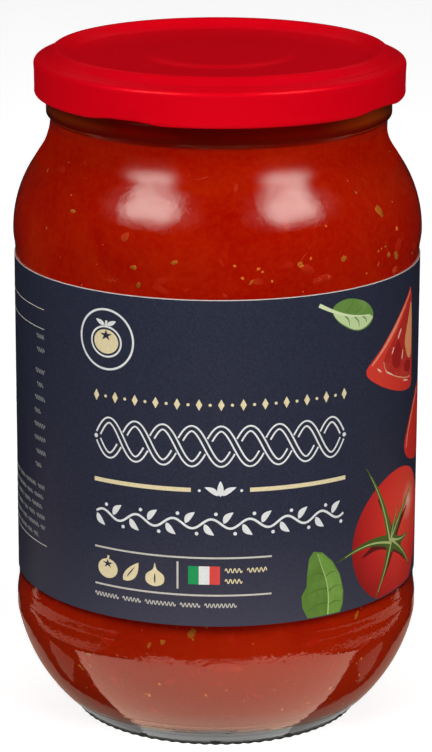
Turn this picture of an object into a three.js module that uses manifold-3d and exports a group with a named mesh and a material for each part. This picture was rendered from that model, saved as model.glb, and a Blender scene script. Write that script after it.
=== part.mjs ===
// Jar of tomato sauce, 1:1 in millimetres, Z up, origin at the centre of the base, front towards -Y.
// A round glass jar with a recessed band for its label, a mouth ring, four short threads under a
// 70 mm twist-off lid, and sauce filled to just above the lid's lower edge.
import * as THREE from 'three';
import { mergeVertices } from 'three/addons/utils/BufferGeometryUtils.js';
import Module from 'manifold-3d';

// Resolution of everything turned about the jar's axis
const AROUND = 40;
const AROUND_LID = 48;

// Jar, outside
const BODY_RADIUS = 41.1;
const PANEL_RADIUS = 40.7;
const BEARING_INNER_RADIUS = 25.4;
const FOOT_RADIUS = 29.3;
const FOOT_EDGE = 0.35;
const HEEL_ARC_RADIUS = 33.4;
const HEEL_KNUCKLE_RADIUS = 6.4;
const HEEL_KNUCKLE_ANGLE = radians(11.1);
const HEEL_TOP = 21.5;
const HEEL_STEP_START = 23.9;
const PANEL_BOTTOM = 27.6;
const PANEL_TOP = 96.6;
const SHOULDER_START = 100.5;
const SHOULDER_RADIUS = 24.5;
const SHOULDER_SLOPE = radians(31.6);
const CONE_HEIGHT = 3.8;
const NECK_HOLLOW_RADIUS = 11.5;
const NECK_RADIUS = 33.64;
const NECK_TOP = 122.7;
// The push-up's dome, as shares of its radius and of its height
const PUSH_UP_HEIGHT = 3.0;
const PUSH_UP_DOME = [[0, 1], [0.5, 0.86], [0.8, 0.5], [0.96, 0.15], [1, 0]];

// Jar, mouth ring and finish under the lid
const RING_RADIUS = 34.5;
const RING_FULL_FROM = 124.4;
const RING_TOP = 127.9;
const FINISH_RADIUS = 32.75;
const FINISH_FROM = 128.7;
const BORE_RADIUS = 30.8;
const RIM_HEIGHT = 135.75;

// Jar, inside
const WALL = 2.8;
const FLOOR_EDGE_HEIGHT = 3.9;
const FLOOR_CENTRE_HEIGHT = 6.6;
const FLOOR_HALFWAY_DROP = 0.7;
const FLOOR_CORNER_ROUND = 6;

// Threads on the finish
const THREAD_COUNT = 4;
const THREAD_FIRST_ANGLE = radians(-31.5);
const THREAD_SPAN = radians(54);
const THREAD_HEIGHT = 1.3;
const THREAD_REACH = 1.25;
const THREAD_ROOT = 0.5;
const THREAD_DROP = 1.5;
const THREAD_MIDDLE = 131.6;
const THREAD_STEPS = 6;
const THREAD_BLUNT_END = 0.06;
const THREAD_TAPER = 0.45;

// Lid
const LID_SKIRT_RADIUS = 36.95;
const LID_TOP_EDGE_RADIUS = 37.03;
const LID_SHEET = 0.35;
const LID_BOTTOM = 127.85;
const LID_CURL_RADIUS = 0.8;
const LID_SKIRT_TOP = 134.0;
const LID_SHOULDER_ROUND = 1.15;
const LID_SHOULDER_START = Math.PI / 2 - 0.15;
const LID_SKIRT_EVEN_FROM = 132.4;
const LID_GROOVE_RADIUS = 34.75;
const LID_GROOVE_HEIGHT = 135.62;
const LID_CREST_OUTER = 33.0;
const LID_CREST_INNER = 31.8;
const LID_CREST_HEIGHT = 137.2;
const LID_CREST_ROUND = 0.12;
const LID_BEAD_SAG = 0.2;
const LID_PANEL_RADIUS = 29.6;
const LID_PANEL_HEIGHT = 135.35;
const LID_BUTTON_FOOT_RADIUS = 15.4;
const LID_BUTTON_TOP_RADIUS = 13.2;
const LID_BUTTON_RISE = 0.5;

// Lugs pressed inwards out of the lid's curl
const LUG_COUNT = 4;
const LUG_FIRST_ANGLE = radians(-31);
const LUG_HALF_WIDTH = radians(14);
const LUG_FLAT_HALF_WIDTH = radians(3);
const LUG_REACH = 1.9;
const LUG_LIFT = 0.4;
const LUG_CORNER_TUCK = 0.55;
const LUG_ZONE_TOP = 130.6;

// Label, a paper band whose end laps over its start at the back
const LABEL_BOTTOM = 29.8;
const LABEL_TOP = 95.7;
const LABEL_INNER_RADIUS = 40.76;
const LABEL_OUTER_RADIUS = 40.9;
const LABEL_LAP_START = radians(180);

// Sauce
const SAUCE_GAP = 0.1;
const SAUCE_LEVEL = 128.9;

// Limits of the mesh work
const WELD_DISTANCE = 1e-4;
const LEAST_CORNER_COSINE = 0.7;

const glass = new THREE.MeshStandardMaterial({
  color: 0xdfe8e2, roughness: 0.05, metalness: 0, transparent: true, opacity: 0.3,
});
const lacquer = new THREE.MeshStandardMaterial({ color: 0xc8000f, roughness: 0.38, metalness: 0.1 });
const paper = new THREE.MeshStandardMaterial({ color: 0x2a2f3d, roughness: 0.75, metalness: 0 });
const tomato = new THREE.MeshStandardMaterial({ color: 0xa92410, roughness: 0.45, metalness: 0 });

function radians(degrees) {
  return degrees * Math.PI / 180;
}

function point(radius, height) {
  return new THREE.Vector2(radius, height);
}

// Points of an arc in the radius-height plane, both ends included; angle 0 points outwards
function arc(centre, radius, from, to, steps) {
  const points = [];
  for (let i = 0; i <= steps; i += 1) {
    const angle = from + (to - from) * i / steps;
    points.push(point(centre.x + radius * Math.cos(angle), centre.y + radius * Math.sin(angle)));
  }
  return points;
}

// The body's two construction arcs at the foot of the wall, shared by the outside and the inside
function heelCentres() {
  const knuckle = point(BODY_RADIUS - HEEL_KNUCKLE_RADIUS, HEEL_TOP);
  const reach = HEEL_ARC_RADIUS - HEEL_KNUCKLE_RADIUS;
  const sweep = point(
    knuckle.x - reach * Math.cos(HEEL_KNUCKLE_ANGLE),
    knuckle.y + reach * Math.sin(HEEL_KNUCKLE_ANGLE),
  );
  return { knuckle, sweep };
}

// Where an arc of the given round touches both the heel sweep, from inside, and a level line
function sweepCorner(sweep, sweepRadius, round, level) {
  const height = level + round;
  const drop = sweep.y - height;
  const reach = sweepRadius - round;
  const centre = point(sweep.x + Math.sqrt(reach * reach - drop * drop), height);
  return { centre, angle: -Math.asin(drop / reach) };
}

// The convex shoulder, the short cone and the hollow of the neck, set in from the outside by inset
function shoulderPoints(inset, neckRadius, steps) {
  const centre = point(BODY_RADIUS - SHOULDER_RADIUS, SHOULDER_START);
  const radius = SHOULDER_RADIUS - inset;
  const points = arc(centre, radius, 0, SHOULDER_SLOPE, steps);
  const coneFoot = points[points.length - 1];
  const coneHead = point(coneFoot.x - CONE_HEIGHT * Math.tan(SHOULDER_SLOPE), coneFoot.y + CONE_HEIGHT);
  const hollow = NECK_HOLLOW_RADIUS + inset;
  const hollowCentre = point(
    coneHead.x + hollow * Math.cos(SHOULDER_SLOPE),
    coneHead.y + hollow * Math.sin(SHOULDER_SLOPE),
  );
  const stop = Math.acos(Math.min(1, (hollowCentre.x - neckRadius) / hollow));
  return points.concat(arc(hollowCentre, hollow, Math.PI + SHOULDER_SLOPE, Math.PI + stop, steps - 2));
}

// Outside of the glass from the axis under the base up to the rim
function outerProfile() {
  const { knuckle, sweep } = heelCentres();
  const heelStart = -Math.acos((FOOT_RADIUS - sweep.x) / HEEL_ARC_RADIUS);
  return [
    ...PUSH_UP_DOME.map(([out, up]) => point(BEARING_INNER_RADIUS * out, PUSH_UP_HEIGHT * up)),
    point(FOOT_RADIUS - FOOT_EDGE, 0),
    point(FOOT_RADIUS, FOOT_EDGE),
    ...arc(sweep, HEEL_ARC_RADIUS, heelStart, -HEEL_KNUCKLE_ANGLE, 6),
    ...arc(knuckle, HEEL_KNUCKLE_RADIUS, -HEEL_KNUCKLE_ANGLE, 0, 1).slice(1),
    point(BODY_RADIUS, HEEL_STEP_START),
    point(PANEL_RADIUS, PANEL_BOTTOM),
    point(PANEL_RADIUS, PANEL_TOP),
    ...shoulderPoints(0, NECK_RADIUS, 6),
    point(NECK_RADIUS, NECK_TOP),
    point((NECK_RADIUS + RING_RADIUS) / 2, (NECK_TOP + RING_FULL_FROM) / 2),
    point(RING_RADIUS, RING_FULL_FROM),
    point(RING_RADIUS, RING_TOP),
    point(FINISH_RADIUS, FINISH_FROM),
  ];
}

// Half-round rim from the finish over to the bore
function rimProfile() {
  const round = (FINISH_RADIUS - BORE_RADIUS) / 2;
  return arc(point(BORE_RADIUS + round, RIM_HEIGHT - round), round, 0, Math.PI, 4);
}

// Inside of the glass from the bore down to the axis, moved inwards by gap for what fills it
function innerProfile(gap, top) {
  const { knuckle, sweep } = heelCentres();
  const inset = WALL + gap;
  const sweepRadius = HEEL_ARC_RADIUS - inset;
  const corner = sweepCorner(sweep, sweepRadius, FLOOR_CORNER_ROUND, FLOOR_EDGE_HEIGHT + gap);
  return [
    ...top,
    ...shoulderPoints(inset, BORE_RADIUS - gap, 4).reverse(),
    ...arc(knuckle, HEEL_KNUCKLE_RADIUS - inset, 0, -HEEL_KNUCKLE_ANGLE, 1),
    ...arc(sweep, sweepRadius, -HEEL_KNUCKLE_ANGLE, corner.angle, 4).slice(1),
    ...arc(corner.centre, FLOOR_CORNER_ROUND, corner.angle, -Math.PI / 2, 2).slice(1),
    point(corner.centre.x / 2, FLOOR_CENTRE_HEIGHT + gap - FLOOR_HALFWAY_DROP),
    point(0, FLOOR_CENTRE_HEIGHT + gap),
  ];
}

// A profile turned about Z; angle 0 lies at the front, -Y, and grows towards +X
function turned(profile, segments, firstAngle) {
  const geometry = new THREE.LatheGeometry(profile, segments, firstAngle);
  geometry.rotateX(Math.PI / 2);
  return welded(geometry);
}

// Positions only, with shared vertices and no collapsed triangles, as a closed body needs
function welded(geometry) {
  geometry.deleteAttribute('normal');
  geometry.deleteAttribute('uv');
  const merged = mergeVertices(geometry, WELD_DISTANCE);
  const corners = merged.index.array;
  const kept = [];
  for (let i = 0; i < corners.length; i += 3) {
    const [a, b, c] = corners.subarray(i, i + 3);
    if (a !== b && b !== c && c !== a) {
      kept.push(a, b, c);
    }
  }
  merged.setIndex(kept);
  return merged;
}

// One thread: a bar bent round the finish, falling as it goes round and fading at both ends
function threadGeometry(startAngle) {
  const depth = THREAD_REACH + THREAD_ROOT;
  const geometry = new THREE.BoxGeometry(1, depth, THREAD_HEIGHT, THREAD_STEPS, 1, 1);
  const position = geometry.getAttribute('position');
  for (let i = 0; i < position.count; i += 1) {
    const along = position.getX(i) + 0.5;
    const outwards = 0.5 - position.getY(i) / depth;
    const angle = startAngle + along * THREAD_SPAN;
    const share = THREAD_BLUNT_END + (1 - 2 * THREAD_BLUNT_END) * along;
    const reach = THREAD_REACH * Math.sqrt(Math.sin(Math.PI * share));
    const radius = FINISH_RADIUS - THREAD_ROOT + outwards * (THREAD_ROOT + reach);
    const slimmer = 1 - THREAD_TAPER * outwards;
    const height = THREAD_MIDDLE + position.getZ(i) * slimmer + (0.5 - along) * THREAD_DROP;
    position.setXYZ(i, radius * Math.sin(angle), -radius * Math.cos(angle), height);
  }
  return welded(geometry);
}

const wasm = await Module();
wasm.setup();

function solidOf(geometry) {
  const vertProperties = new Float32Array(geometry.getAttribute('position').array);
  const triVerts = new Uint32Array(geometry.index.array);
  return new wasm.Manifold(new wasm.Mesh({ numProp: 3, vertProperties, triVerts }));
}

function geometryOf(solid) {
  const mesh = solid.getMesh();
  const geometry = new THREE.BufferGeometry();
  geometry.setAttribute('position', new THREE.BufferAttribute(mesh.vertProperties, 3));
  geometry.setIndex(new THREE.BufferAttribute(mesh.triVerts, 1));
  return geometry;
}

function jarGeometry() {
  const inside = innerProfile(0, []);
  const shell = turned([...outerProfile(), ...rimProfile(), ...inside], AROUND, 0);
  let jar = solidOf(shell);
  for (let i = 0; i < THREAD_COUNT; i += 1) {
    const start = THREAD_FIRST_ANGLE - THREAD_SPAN / 2 + i * 2 * Math.PI / THREAD_COUNT;
    jar = jar.add(solidOf(threadGeometry(start)));
  }
  return geometryOf(jar);
}

function sauceGeometry() {
  const surface = [point(0, SAUCE_LEVEL), point(BORE_RADIUS - SAUCE_GAP, SAUCE_LEVEL)];
  const profile = [...innerProfile(SAUCE_GAP, surface)].reverse();
  return turned(profile, AROUND, 0);
}

// Upper face of the lid's sheet, from the middle of the button out and down to the curl
function lidFace() {
  const roundCentre = point(LID_TOP_EDGE_RADIUS - LID_SHOULDER_ROUND, LID_SKIRT_TOP);
  return [
    point(0, LID_PANEL_HEIGHT + LID_BUTTON_RISE),
    point(LID_BUTTON_TOP_RADIUS, LID_PANEL_HEIGHT + LID_BUTTON_RISE),
    point(LID_BUTTON_FOOT_RADIUS, LID_PANEL_HEIGHT),
    point(LID_PANEL_RADIUS, LID_PANEL_HEIGHT),
    point(
      (LID_PANEL_RADIUS + LID_CREST_INNER) / 2,
      (LID_PANEL_HEIGHT + LID_CREST_HEIGHT) / 2 - LID_BEAD_SAG,
    ),
    point(LID_CREST_INNER, LID_CREST_HEIGHT - LID_CREST_ROUND),
    point((LID_CREST_INNER + LID_CREST_OUTER) / 2, LID_CREST_HEIGHT),
    point(LID_CREST_OUTER, LID_CREST_HEIGHT - LID_CREST_ROUND),
    point(LID_GROOVE_RADIUS, LID_GROOVE_HEIGHT),
    ...arc(roundCentre, LID_SHOULDER_ROUND, LID_SHOULDER_START, 0, 3),
    point(LID_SKIRT_RADIUS, LID_SKIRT_EVEN_FROM),
  ];
}

// The same line moved inwards by a distance, square to its own direction
function insetLine(points, distance) {
  return points.map((here, i) => {
    const before = points[Math.max(0, i - 1)];
    const after = points[Math.min(points.length - 1, i + 1)];
    const incoming = here.clone().sub(before).normalize();
    const outgoing = after.clone().sub(here).normalize();
    const along = incoming.clone().add(outgoing).normalize();
    const stretch = 1 / Math.max(along.dot(outgoing), along.dot(incoming), LEAST_CORNER_COSINE);
    const inset = point(here.x + along.y * distance * stretch, here.y - along.x * distance * stretch);
    return i === 0 ? point(0, here.y - distance) : inset;
  });
}

// How far round a lug this angle is: 1 on its flat middle, 0 outside it
function lugWeight(angle) {
  const pitch = 2 * Math.PI / LUG_COUNT;
  const fromFirst = (angle - LUG_FIRST_ANGLE) / pitch;
  const offset = Math.abs(fromFirst - Math.round(fromFirst)) * pitch;
  return 1 - THREE.MathUtils.smoothstep(offset, LUG_FLAT_HALF_WIDTH, LUG_HALF_WIDTH);
}

function lidGeometry() {
  const face = lidFace();
  const curlCentre = point(LID_SKIRT_RADIUS - LID_CURL_RADIUS, LID_BOTTOM + LID_CURL_RADIUS);
  const curl = arc(curlCentre, LID_CURL_RADIUS, 0, -1.5 * Math.PI, 6);
  const profile = [...face, ...curl, ...insetLine(face, LID_SHEET).reverse()];
  const geometry = turned(profile.reverse(), AROUND_LID, LUG_FIRST_ANGLE);
  const position = geometry.getAttribute('position');
  for (let i = 0; i < position.count; i += 1) {
    const x = position.getX(i);
    const y = position.getY(i);
    const height = position.getZ(i);
    const radius = Math.hypot(x, y);
    if (radius > LID_PANEL_RADIUS && height < LUG_ZONE_TOP) {
      const weight = lugWeight(Math.atan2(x, -y));
      const inwards = (LID_SKIRT_RADIUS - radius) / (2 * LID_CURL_RADIUS);
      const low = (LUG_ZONE_TOP - height) / (LUG_ZONE_TOP - LID_BOTTOM);
      const push = weight * (LUG_REACH * inwards + LUG_CORNER_TUCK * low * low);
      const lift = weight * LUG_LIFT * low * low;
      position.setXYZ(i, x * (radius - push) / radius, y * (radius - push) / radius, height + lift);
    }
  }
  return geometry;
}

// Flat outline of the label seen from above, with the lap at the back, raised to its height
function labelGeometry() {
  const sheet = LABEL_OUTER_RADIUS - LABEL_INNER_RADIUS;
  const step = 2 * Math.PI / AROUND;
  const lapEnd = LABEL_LAP_START + step;
  const outline = [];
  const opening = [];
  for (let i = 0; i < AROUND; i += 1) {
    const angle = lapEnd + i * step;
    const lapped = i === AROUND - 1;
    outline.push(around(angle, LABEL_OUTER_RADIUS + (lapped ? sheet : 0)));
    opening.push(around(angle, LABEL_INNER_RADIUS));
  }
  outline.push(around(lapEnd, LABEL_OUTER_RADIUS + sheet));
  const shape = new THREE.Shape(outline);
  shape.holes.push(new THREE.Path(opening));
  const geometry = new THREE.ExtrudeGeometry(shape, {
    depth: LABEL_TOP - LABEL_BOTTOM, bevelEnabled: false, steps: 1,
  });
  geometry.translate(0, 0, LABEL_BOTTOM);
  return welded(geometry);
}

function around(angle, radius) {
  return new THREE.Vector2(radius * Math.sin(angle), -radius * Math.cos(angle));
}

const jar = new THREE.Group();
const pieces = [
  ['glass_jar', jarGeometry(), glass],
  ['sauce', sauceGeometry(), tomato],
  ['label', labelGeometry(), paper],
  ['lid', lidGeometry(), lacquer],
];
for (const [name, geometry, material] of pieces) {
  const mesh = new THREE.Mesh(geometry, material);
  mesh.name = name;
  jar.add(mesh);
}

export default jar;
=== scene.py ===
"""A closed jar of tomato sauce: clear glass, sauce with herb flecks, a printed paper label and a red
twist-off lid. Lengths are in millimetres in the row frame until a mesh is made, which is in metres;
what materials measure is in metres too."""
import math
import random

import bpy
import numpy as np
from mathutils import Matrix, Vector, geometry


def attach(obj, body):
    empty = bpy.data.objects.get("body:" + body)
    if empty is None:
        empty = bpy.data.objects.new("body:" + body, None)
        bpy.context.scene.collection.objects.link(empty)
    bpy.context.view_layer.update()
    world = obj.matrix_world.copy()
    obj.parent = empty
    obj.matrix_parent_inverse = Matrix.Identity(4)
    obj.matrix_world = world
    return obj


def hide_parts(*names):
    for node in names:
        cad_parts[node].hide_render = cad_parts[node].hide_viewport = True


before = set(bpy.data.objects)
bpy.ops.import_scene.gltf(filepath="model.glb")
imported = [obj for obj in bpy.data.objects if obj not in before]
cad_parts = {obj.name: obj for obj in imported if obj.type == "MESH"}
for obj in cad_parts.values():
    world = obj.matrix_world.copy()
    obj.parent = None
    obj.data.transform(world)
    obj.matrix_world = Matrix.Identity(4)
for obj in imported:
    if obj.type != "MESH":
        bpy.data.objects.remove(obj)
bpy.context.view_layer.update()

MM = 0.001
# Points nearer than this to each other, or to the axis, count as one
SAME_PLACE = 1e-6

# Jar, outside
BODY_RADIUS = 41.1
PANEL_RADIUS = 40.7
BEARING_INNER_RADIUS = 25.4
FOOT_RADIUS = 29.3
FOOT_EDGE = 0.35
HEEL_ARC_RADIUS = 33.4
HEEL_KNUCKLE_RADIUS = 6.4
HEEL_KNUCKLE_ANGLE = math.radians(11.1)
HEEL_TOP = 21.5
HEEL_STEP_START = 23.9
PANEL_BOTTOM = 27.6
PANEL_TOP = 96.6
SHOULDER_START = 100.5
SHOULDER_RADIUS = 24.5
SHOULDER_SLOPE = math.radians(31.6)
UPPER_SHOULDER_RADIUS = 120.0
STEEPEST_SLOPE = math.radians(33.5)
NECK_HOLLOW_RADIUS = 10.0
NECK_RADIUS = 33.64
PUSH_UP_HEIGHT = 3.0
PUSH_UP_POWER = 2.8

# Jar, mouth ring and finish under the lid
RING_RADIUS = 34.5
RING_FULL_FROM = 124.4
RING_FLANK_ROUND = 0.6
RING_FLANK_TILT = math.acos(1 - (RING_RADIUS - NECK_RADIUS) / (2 * RING_FLANK_ROUND))
RING_TOP = 127.9
FINISH_RADIUS = 32.75
FINISH_FROM = 128.7
BORE_RADIUS = 30.8
RIM_HEIGHT = 135.75

# Jar, inside
WALL = 2.8
FLOOR_EDGE_HEIGHT = 3.9
FLOOR_CENTRE_HEIGHT = 6.6
FLOOR_CORNER_ROUND = 6.0
FLOOR_DOME_POWER = 2.2

# Threads on the finish
THREAD_COUNT = 4
THREAD_FIRST_ANGLE = math.radians(-31.5)
THREAD_SPAN = math.radians(54)
THREAD_HALF_HEIGHT = 0.65
THREAD_REACH = 1.2
THREAD_DROP = 1.5
THREAD_MIDDLE = 131.6

# Marks of the glass mould
KNURL_COUNT = 81
KNURL_DEPTH = 0.2
KNURL_ZONE_TOP = 1.3
MOULD_RING_PITCH = 1.15
MOULD_RING_DEPTH = 0.035
MOULD_RINGS_FROM = 1.6
MOULD_RINGS_TO = 7.4
GLASS_WAVE = 0.03
# Slow waves in the wall: share, waves round the jar, radians a millimetre up, and start
GLASS_WAVES = ((1, 5, 0.11, 0), (0.6, 9, -0.19, 1), (0.4, 3, 0.45, 2))
WAVES_FROM = (6, 14)
WAVES_TO = (118, 122)

# Lid
LID_SKIRT_RADIUS = 36.95
LID_TOP_EDGE_RADIUS = 37.03
LID_SHEET = 0.35
LID_BOTTOM = 127.85
LID_CURL_RADIUS = 0.8
LID_WAIST = 0.03
LID_SKIRT_TOP = 134.0
LID_SHOULDER_ROUND = 1.15
LID_GROOVE_RADIUS = 34.75
LID_GROOVE_HEIGHT = 135.62
LID_CREST_OUTER = 33.0
LID_CREST_INNER = 31.8
LID_CREST_HEIGHT = 137.2
LID_PANEL_RADIUS = 29.6
LID_PANEL_HEIGHT = 135.35
LID_BUTTON_FOOT_RADIUS = 15.4
LID_BUTTON_TOP_RADIUS = 13.2
LID_BUTTON_RISE = 0.5

# Lugs pressed inwards out of the lid's curl
LUG_COUNT = 4
LUG_FIRST_ANGLE = math.radians(-31)
LUG_HALF_WIDTH = math.radians(14)
LUG_FLAT_HALF_WIDTH = math.radians(3)
LUG_REACH = 1.9
LUG_LIFT = 0.4
LUG_CORNER_TUCK = 0.4
LUG_ZONE_TOP = 130.6

# The mouth of the jar and its lid sit a little to the right of the body's axis
MOUTH_OFFSET = 0.26
MOUTH_OFFSET_FROM = 119.0
MOUTH_OFFSET_FULL = 123.5
LID_OFFSET = 0.4

# Label
LABEL_BOTTOM = 29.8
LABEL_TOP = 95.7
LABEL_INNER_RADIUS = 40.76
LABEL_OUTER_RADIUS = 40.9
LABEL_LAP_START = math.radians(180)
LABEL_LAP_END = math.radians(189)
LABEL_MARGIN = 0.16

# Sauce
SAUCE_INTO_WALL = 0.2
SAUCE_LEVEL = 128.9

# Resolution of what is turned about the jar's axis
GLASS_AROUND = 6 * KNURL_COUNT
SAUCE_AROUND = 240
LID_AROUND = 360
LABEL_AROUND = 360


def colour(red, green, blue):
    """A colour named by its 0 to 255 display values, as the linear values that a shader takes."""
    def linear(value):
        value /= 255
        return value / 12.92 if value <= 0.04045 else ((value + 0.055) / 1.055) ** 2.4
    return (linear(red), linear(green), linear(blue), 1.0)


# Curves in the radius-height plane

def arc(centre, radius, start, stop, steps):
    """Points of an arc, both ends included; angle 0 points outwards."""
    return [(centre[0] + radius * math.cos(a), centre[1] + radius * math.sin(a))
            for a in np.linspace(start, stop, steps + 1)]


def line(start, stop, steps):
    """Points of a straight line, both ends included."""
    return [tuple(p) for p in np.linspace(start, stop, steps + 1)]


def eased(start, stop, steps):
    """Points of an S-shaped step whose height eases in and out, both ends included."""
    points = []
    for t in np.linspace(0, 1, steps + 1):
        rise = t * t * (3 - 2 * t)
        points.append((start[0] + (stop[0] - start[0]) * t, start[1] + (stop[1] - start[1]) * rise))
    return points


def spline(knots, steps):
    """A smooth curve through the knots, with this many steps from each to the next."""
    knots = [np.array(k, float) for k in knots]
    padded = [2 * knots[0] - knots[1], *knots, 2 * knots[-1] - knots[-2]]
    points = []
    for before, here, after, beyond in zip(padded, padded[1:], padded[2:], padded[3:]):
        for t in np.arange(steps) / steps:
            points.append(0.5 * (2 * here + (after - before) * t
                                 + (2 * before - 5 * here + 4 * after - beyond) * t ** 2
                                 + (3 * here - before - 3 * after + beyond) * t ** 3))
    points.append(knots[-1])
    return [tuple(p) for p in points]


def joined(*stretches):
    """Stretches of points one after another, without the points that two of them share."""
    points = []
    for stretch in stretches:
        for p in stretch:
            if not points or math.dist(points[-1], p) > SAME_PLACE:
                points.append(p)
    return points


# Profiles of the jar

def heel_centres():
    """The two construction arcs at the foot of the wall, shared by the outside and the inside."""
    knuckle = (BODY_RADIUS - HEEL_KNUCKLE_RADIUS, HEEL_TOP)
    reach = HEEL_ARC_RADIUS - HEEL_KNUCKLE_RADIUS
    sweep = (knuckle[0] - reach * math.cos(HEEL_KNUCKLE_ANGLE),
             knuckle[1] + reach * math.sin(HEEL_KNUCKLE_ANGLE))
    return knuckle, sweep


def sweep_corner(sweep, sweep_radius, rounding, level):
    """Where an arc of the given round touches both the heel sweep, from inside, and a level line."""
    height = level + rounding
    drop = sweep[1] - height
    reach = sweep_radius - rounding
    centre = (sweep[0] + math.sqrt(reach * reach - drop * drop), height)
    return centre, -math.asin(drop / reach)


def shoulder_points(inset, neck_radius, steps):
    """The convex shoulder, its flatter upper part and the hollow of the neck, set in from the outside."""
    centre = (BODY_RADIUS - SHOULDER_RADIUS, SHOULDER_START)
    shoulder = arc(centre, SHOULDER_RADIUS - inset, 0, SHOULDER_SLOPE, steps)
    shift = SHOULDER_RADIUS - UPPER_SHOULDER_RADIUS
    upper_centre = (centre[0] + shift * math.cos(SHOULDER_SLOPE),
                    centre[1] + shift * math.sin(SHOULDER_SLOPE))
    upper = arc(upper_centre, UPPER_SHOULDER_RADIUS - inset, SHOULDER_SLOPE, STEEPEST_SLOPE, 6)
    hollow = NECK_HOLLOW_RADIUS + inset
    hollow_centre = (upper[-1][0] + hollow * math.cos(STEEPEST_SLOPE),
                     upper[-1][1] + hollow * math.sin(STEEPEST_SLOPE))
    stop = math.acos(min(1, (hollow_centre[0] - neck_radius) / hollow))
    neck = arc(hollow_centre, hollow, math.pi + STEEPEST_SLOPE, math.pi + stop, steps // 2)
    return joined(shoulder, upper, neck)


def push_up_points(height_at_middle, edge_radius, edge_height, power, steps):
    """A shallow dome over the axis, from its middle out to its edge."""
    rise = height_at_middle - edge_height
    return [(edge_radius * t, edge_height + rise * (1 - t ** power))
            for t in np.linspace(0, 1, steps + 1)]


def outer_profile():
    """Outside of the glass, from the axis under the base up to the finish."""
    knuckle, sweep = heel_centres()
    heel_start = -math.acos((FOOT_RADIUS - sweep[0]) / HEEL_ARC_RADIUS)
    foot_centre = (FOOT_RADIUS - FOOT_EDGE, FOOT_EDGE)
    return joined(
        push_up_points(PUSH_UP_HEIGHT, BEARING_INNER_RADIUS, 0, PUSH_UP_POWER, 12),
        line((BEARING_INNER_RADIUS, 0), (FOOT_RADIUS - FOOT_EDGE, 0), 4),
        arc(foot_centre, FOOT_EDGE, -math.pi / 2, 0, 4),
        arc(sweep, HEEL_ARC_RADIUS, heel_start, -HEEL_KNUCKLE_ANGLE, 60),
        arc(knuckle, HEEL_KNUCKLE_RADIUS, -HEEL_KNUCKLE_ANGLE, 0, 8),
        line((BODY_RADIUS, HEEL_TOP), (BODY_RADIUS, HEEL_STEP_START), 2),
        [(r, h) for h, r in eased((HEEL_STEP_START, BODY_RADIUS), (PANEL_BOTTOM, PANEL_RADIUS), 8)],
        line((PANEL_RADIUS, PANEL_BOTTOM), (PANEL_RADIUS, PANEL_TOP), 6),
        [(r, h) for h, r in eased((PANEL_TOP, PANEL_RADIUS), (SHOULDER_START, BODY_RADIUS), 8)],
        shoulder_points(0, NECK_RADIUS, 30),
        ring_points(),
    )


def ring_points():
    """The S-curve out of the neck to the mouth ring under the lid, and the step in to the finish."""
    upper = (RING_RADIUS - RING_FLANK_ROUND, RING_FULL_FROM)
    bulge = arc(upper, RING_FLANK_ROUND, -RING_FLANK_TILT, 0, 8)
    foot = bulge[0]
    lower = (foot[0] + RING_FLANK_ROUND * math.cos(RING_FLANK_TILT),
             foot[1] - RING_FLANK_ROUND * math.sin(RING_FLANK_TILT))
    hollow = arc(lower, RING_FLANK_ROUND, math.pi, math.pi - RING_FLANK_TILT, 8)
    top = spline([(RING_RADIUS, RING_TOP - 0.6),
                  (RING_RADIUS - 0.3, RING_TOP),
                  (FINISH_RADIUS + 0.4, FINISH_FROM - 0.5),
                  (FINISH_RADIUS, FINISH_FROM + 0.3)], 4)
    return joined(hollow, bulge, line(bulge[-1], top[0], 3), top)


def rim_profile():
    """Finish wall and the half-round rim from the finish over to the bore."""
    rounding = (FINISH_RADIUS - BORE_RADIUS) / 2
    centre = (BORE_RADIUS + rounding, RIM_HEIGHT - rounding)
    return joined(
        line((FINISH_RADIUS, FINISH_FROM + 0.3), (FINISH_RADIUS, centre[1]), 24),
        arc(centre, rounding, 0, math.pi, 10),
    )


def inner_profile(outwards):
    """Inside of the glass from the bore down to the axis, moved into the wall by outwards."""
    knuckle, sweep = heel_centres()
    inset = WALL - outwards
    sweep_radius = HEEL_ARC_RADIUS - inset
    floor_height = FLOOR_EDGE_HEIGHT - outwards
    corner, corner_angle = sweep_corner(sweep, sweep_radius, FLOOR_CORNER_ROUND, floor_height)
    floor = push_up_points(FLOOR_CENTRE_HEIGHT - outwards, corner[0], floor_height,
                           FLOOR_DOME_POWER, 10)
    return joined(
        shoulder_points(inset, BORE_RADIUS + outwards, 24)[::-1],
        arc(knuckle, HEEL_KNUCKLE_RADIUS - inset, 0, -HEEL_KNUCKLE_ANGLE, 4),
        arc(sweep, sweep_radius, -HEEL_KNUCKLE_ANGLE, corner_angle, 28),
        arc(corner, FLOOR_CORNER_ROUND, corner_angle, -math.pi / 2, 8),
        floor[::-1],
    )


# Meshes

def mesh_object(name, vertices, faces, materials, face_material=None, smooth=True):
    """A mesh object from points in millimetres."""
    mesh = bpy.data.meshes.new(name)
    mesh.from_pydata((np.asarray(vertices, float) * MM).tolist(), [], faces)
    for material in materials:
        mesh.materials.append(material)
    if face_material is not None:
        mesh.polygons.foreach_set("material_index", np.asarray(face_material, np.int32))
    mesh.polygons.foreach_set("use_smooth", np.full(len(faces), smooth))
    mesh.update()
    piece = bpy.data.objects.new(name, mesh)
    bpy.context.scene.collection.objects.link(piece)
    return piece


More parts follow.
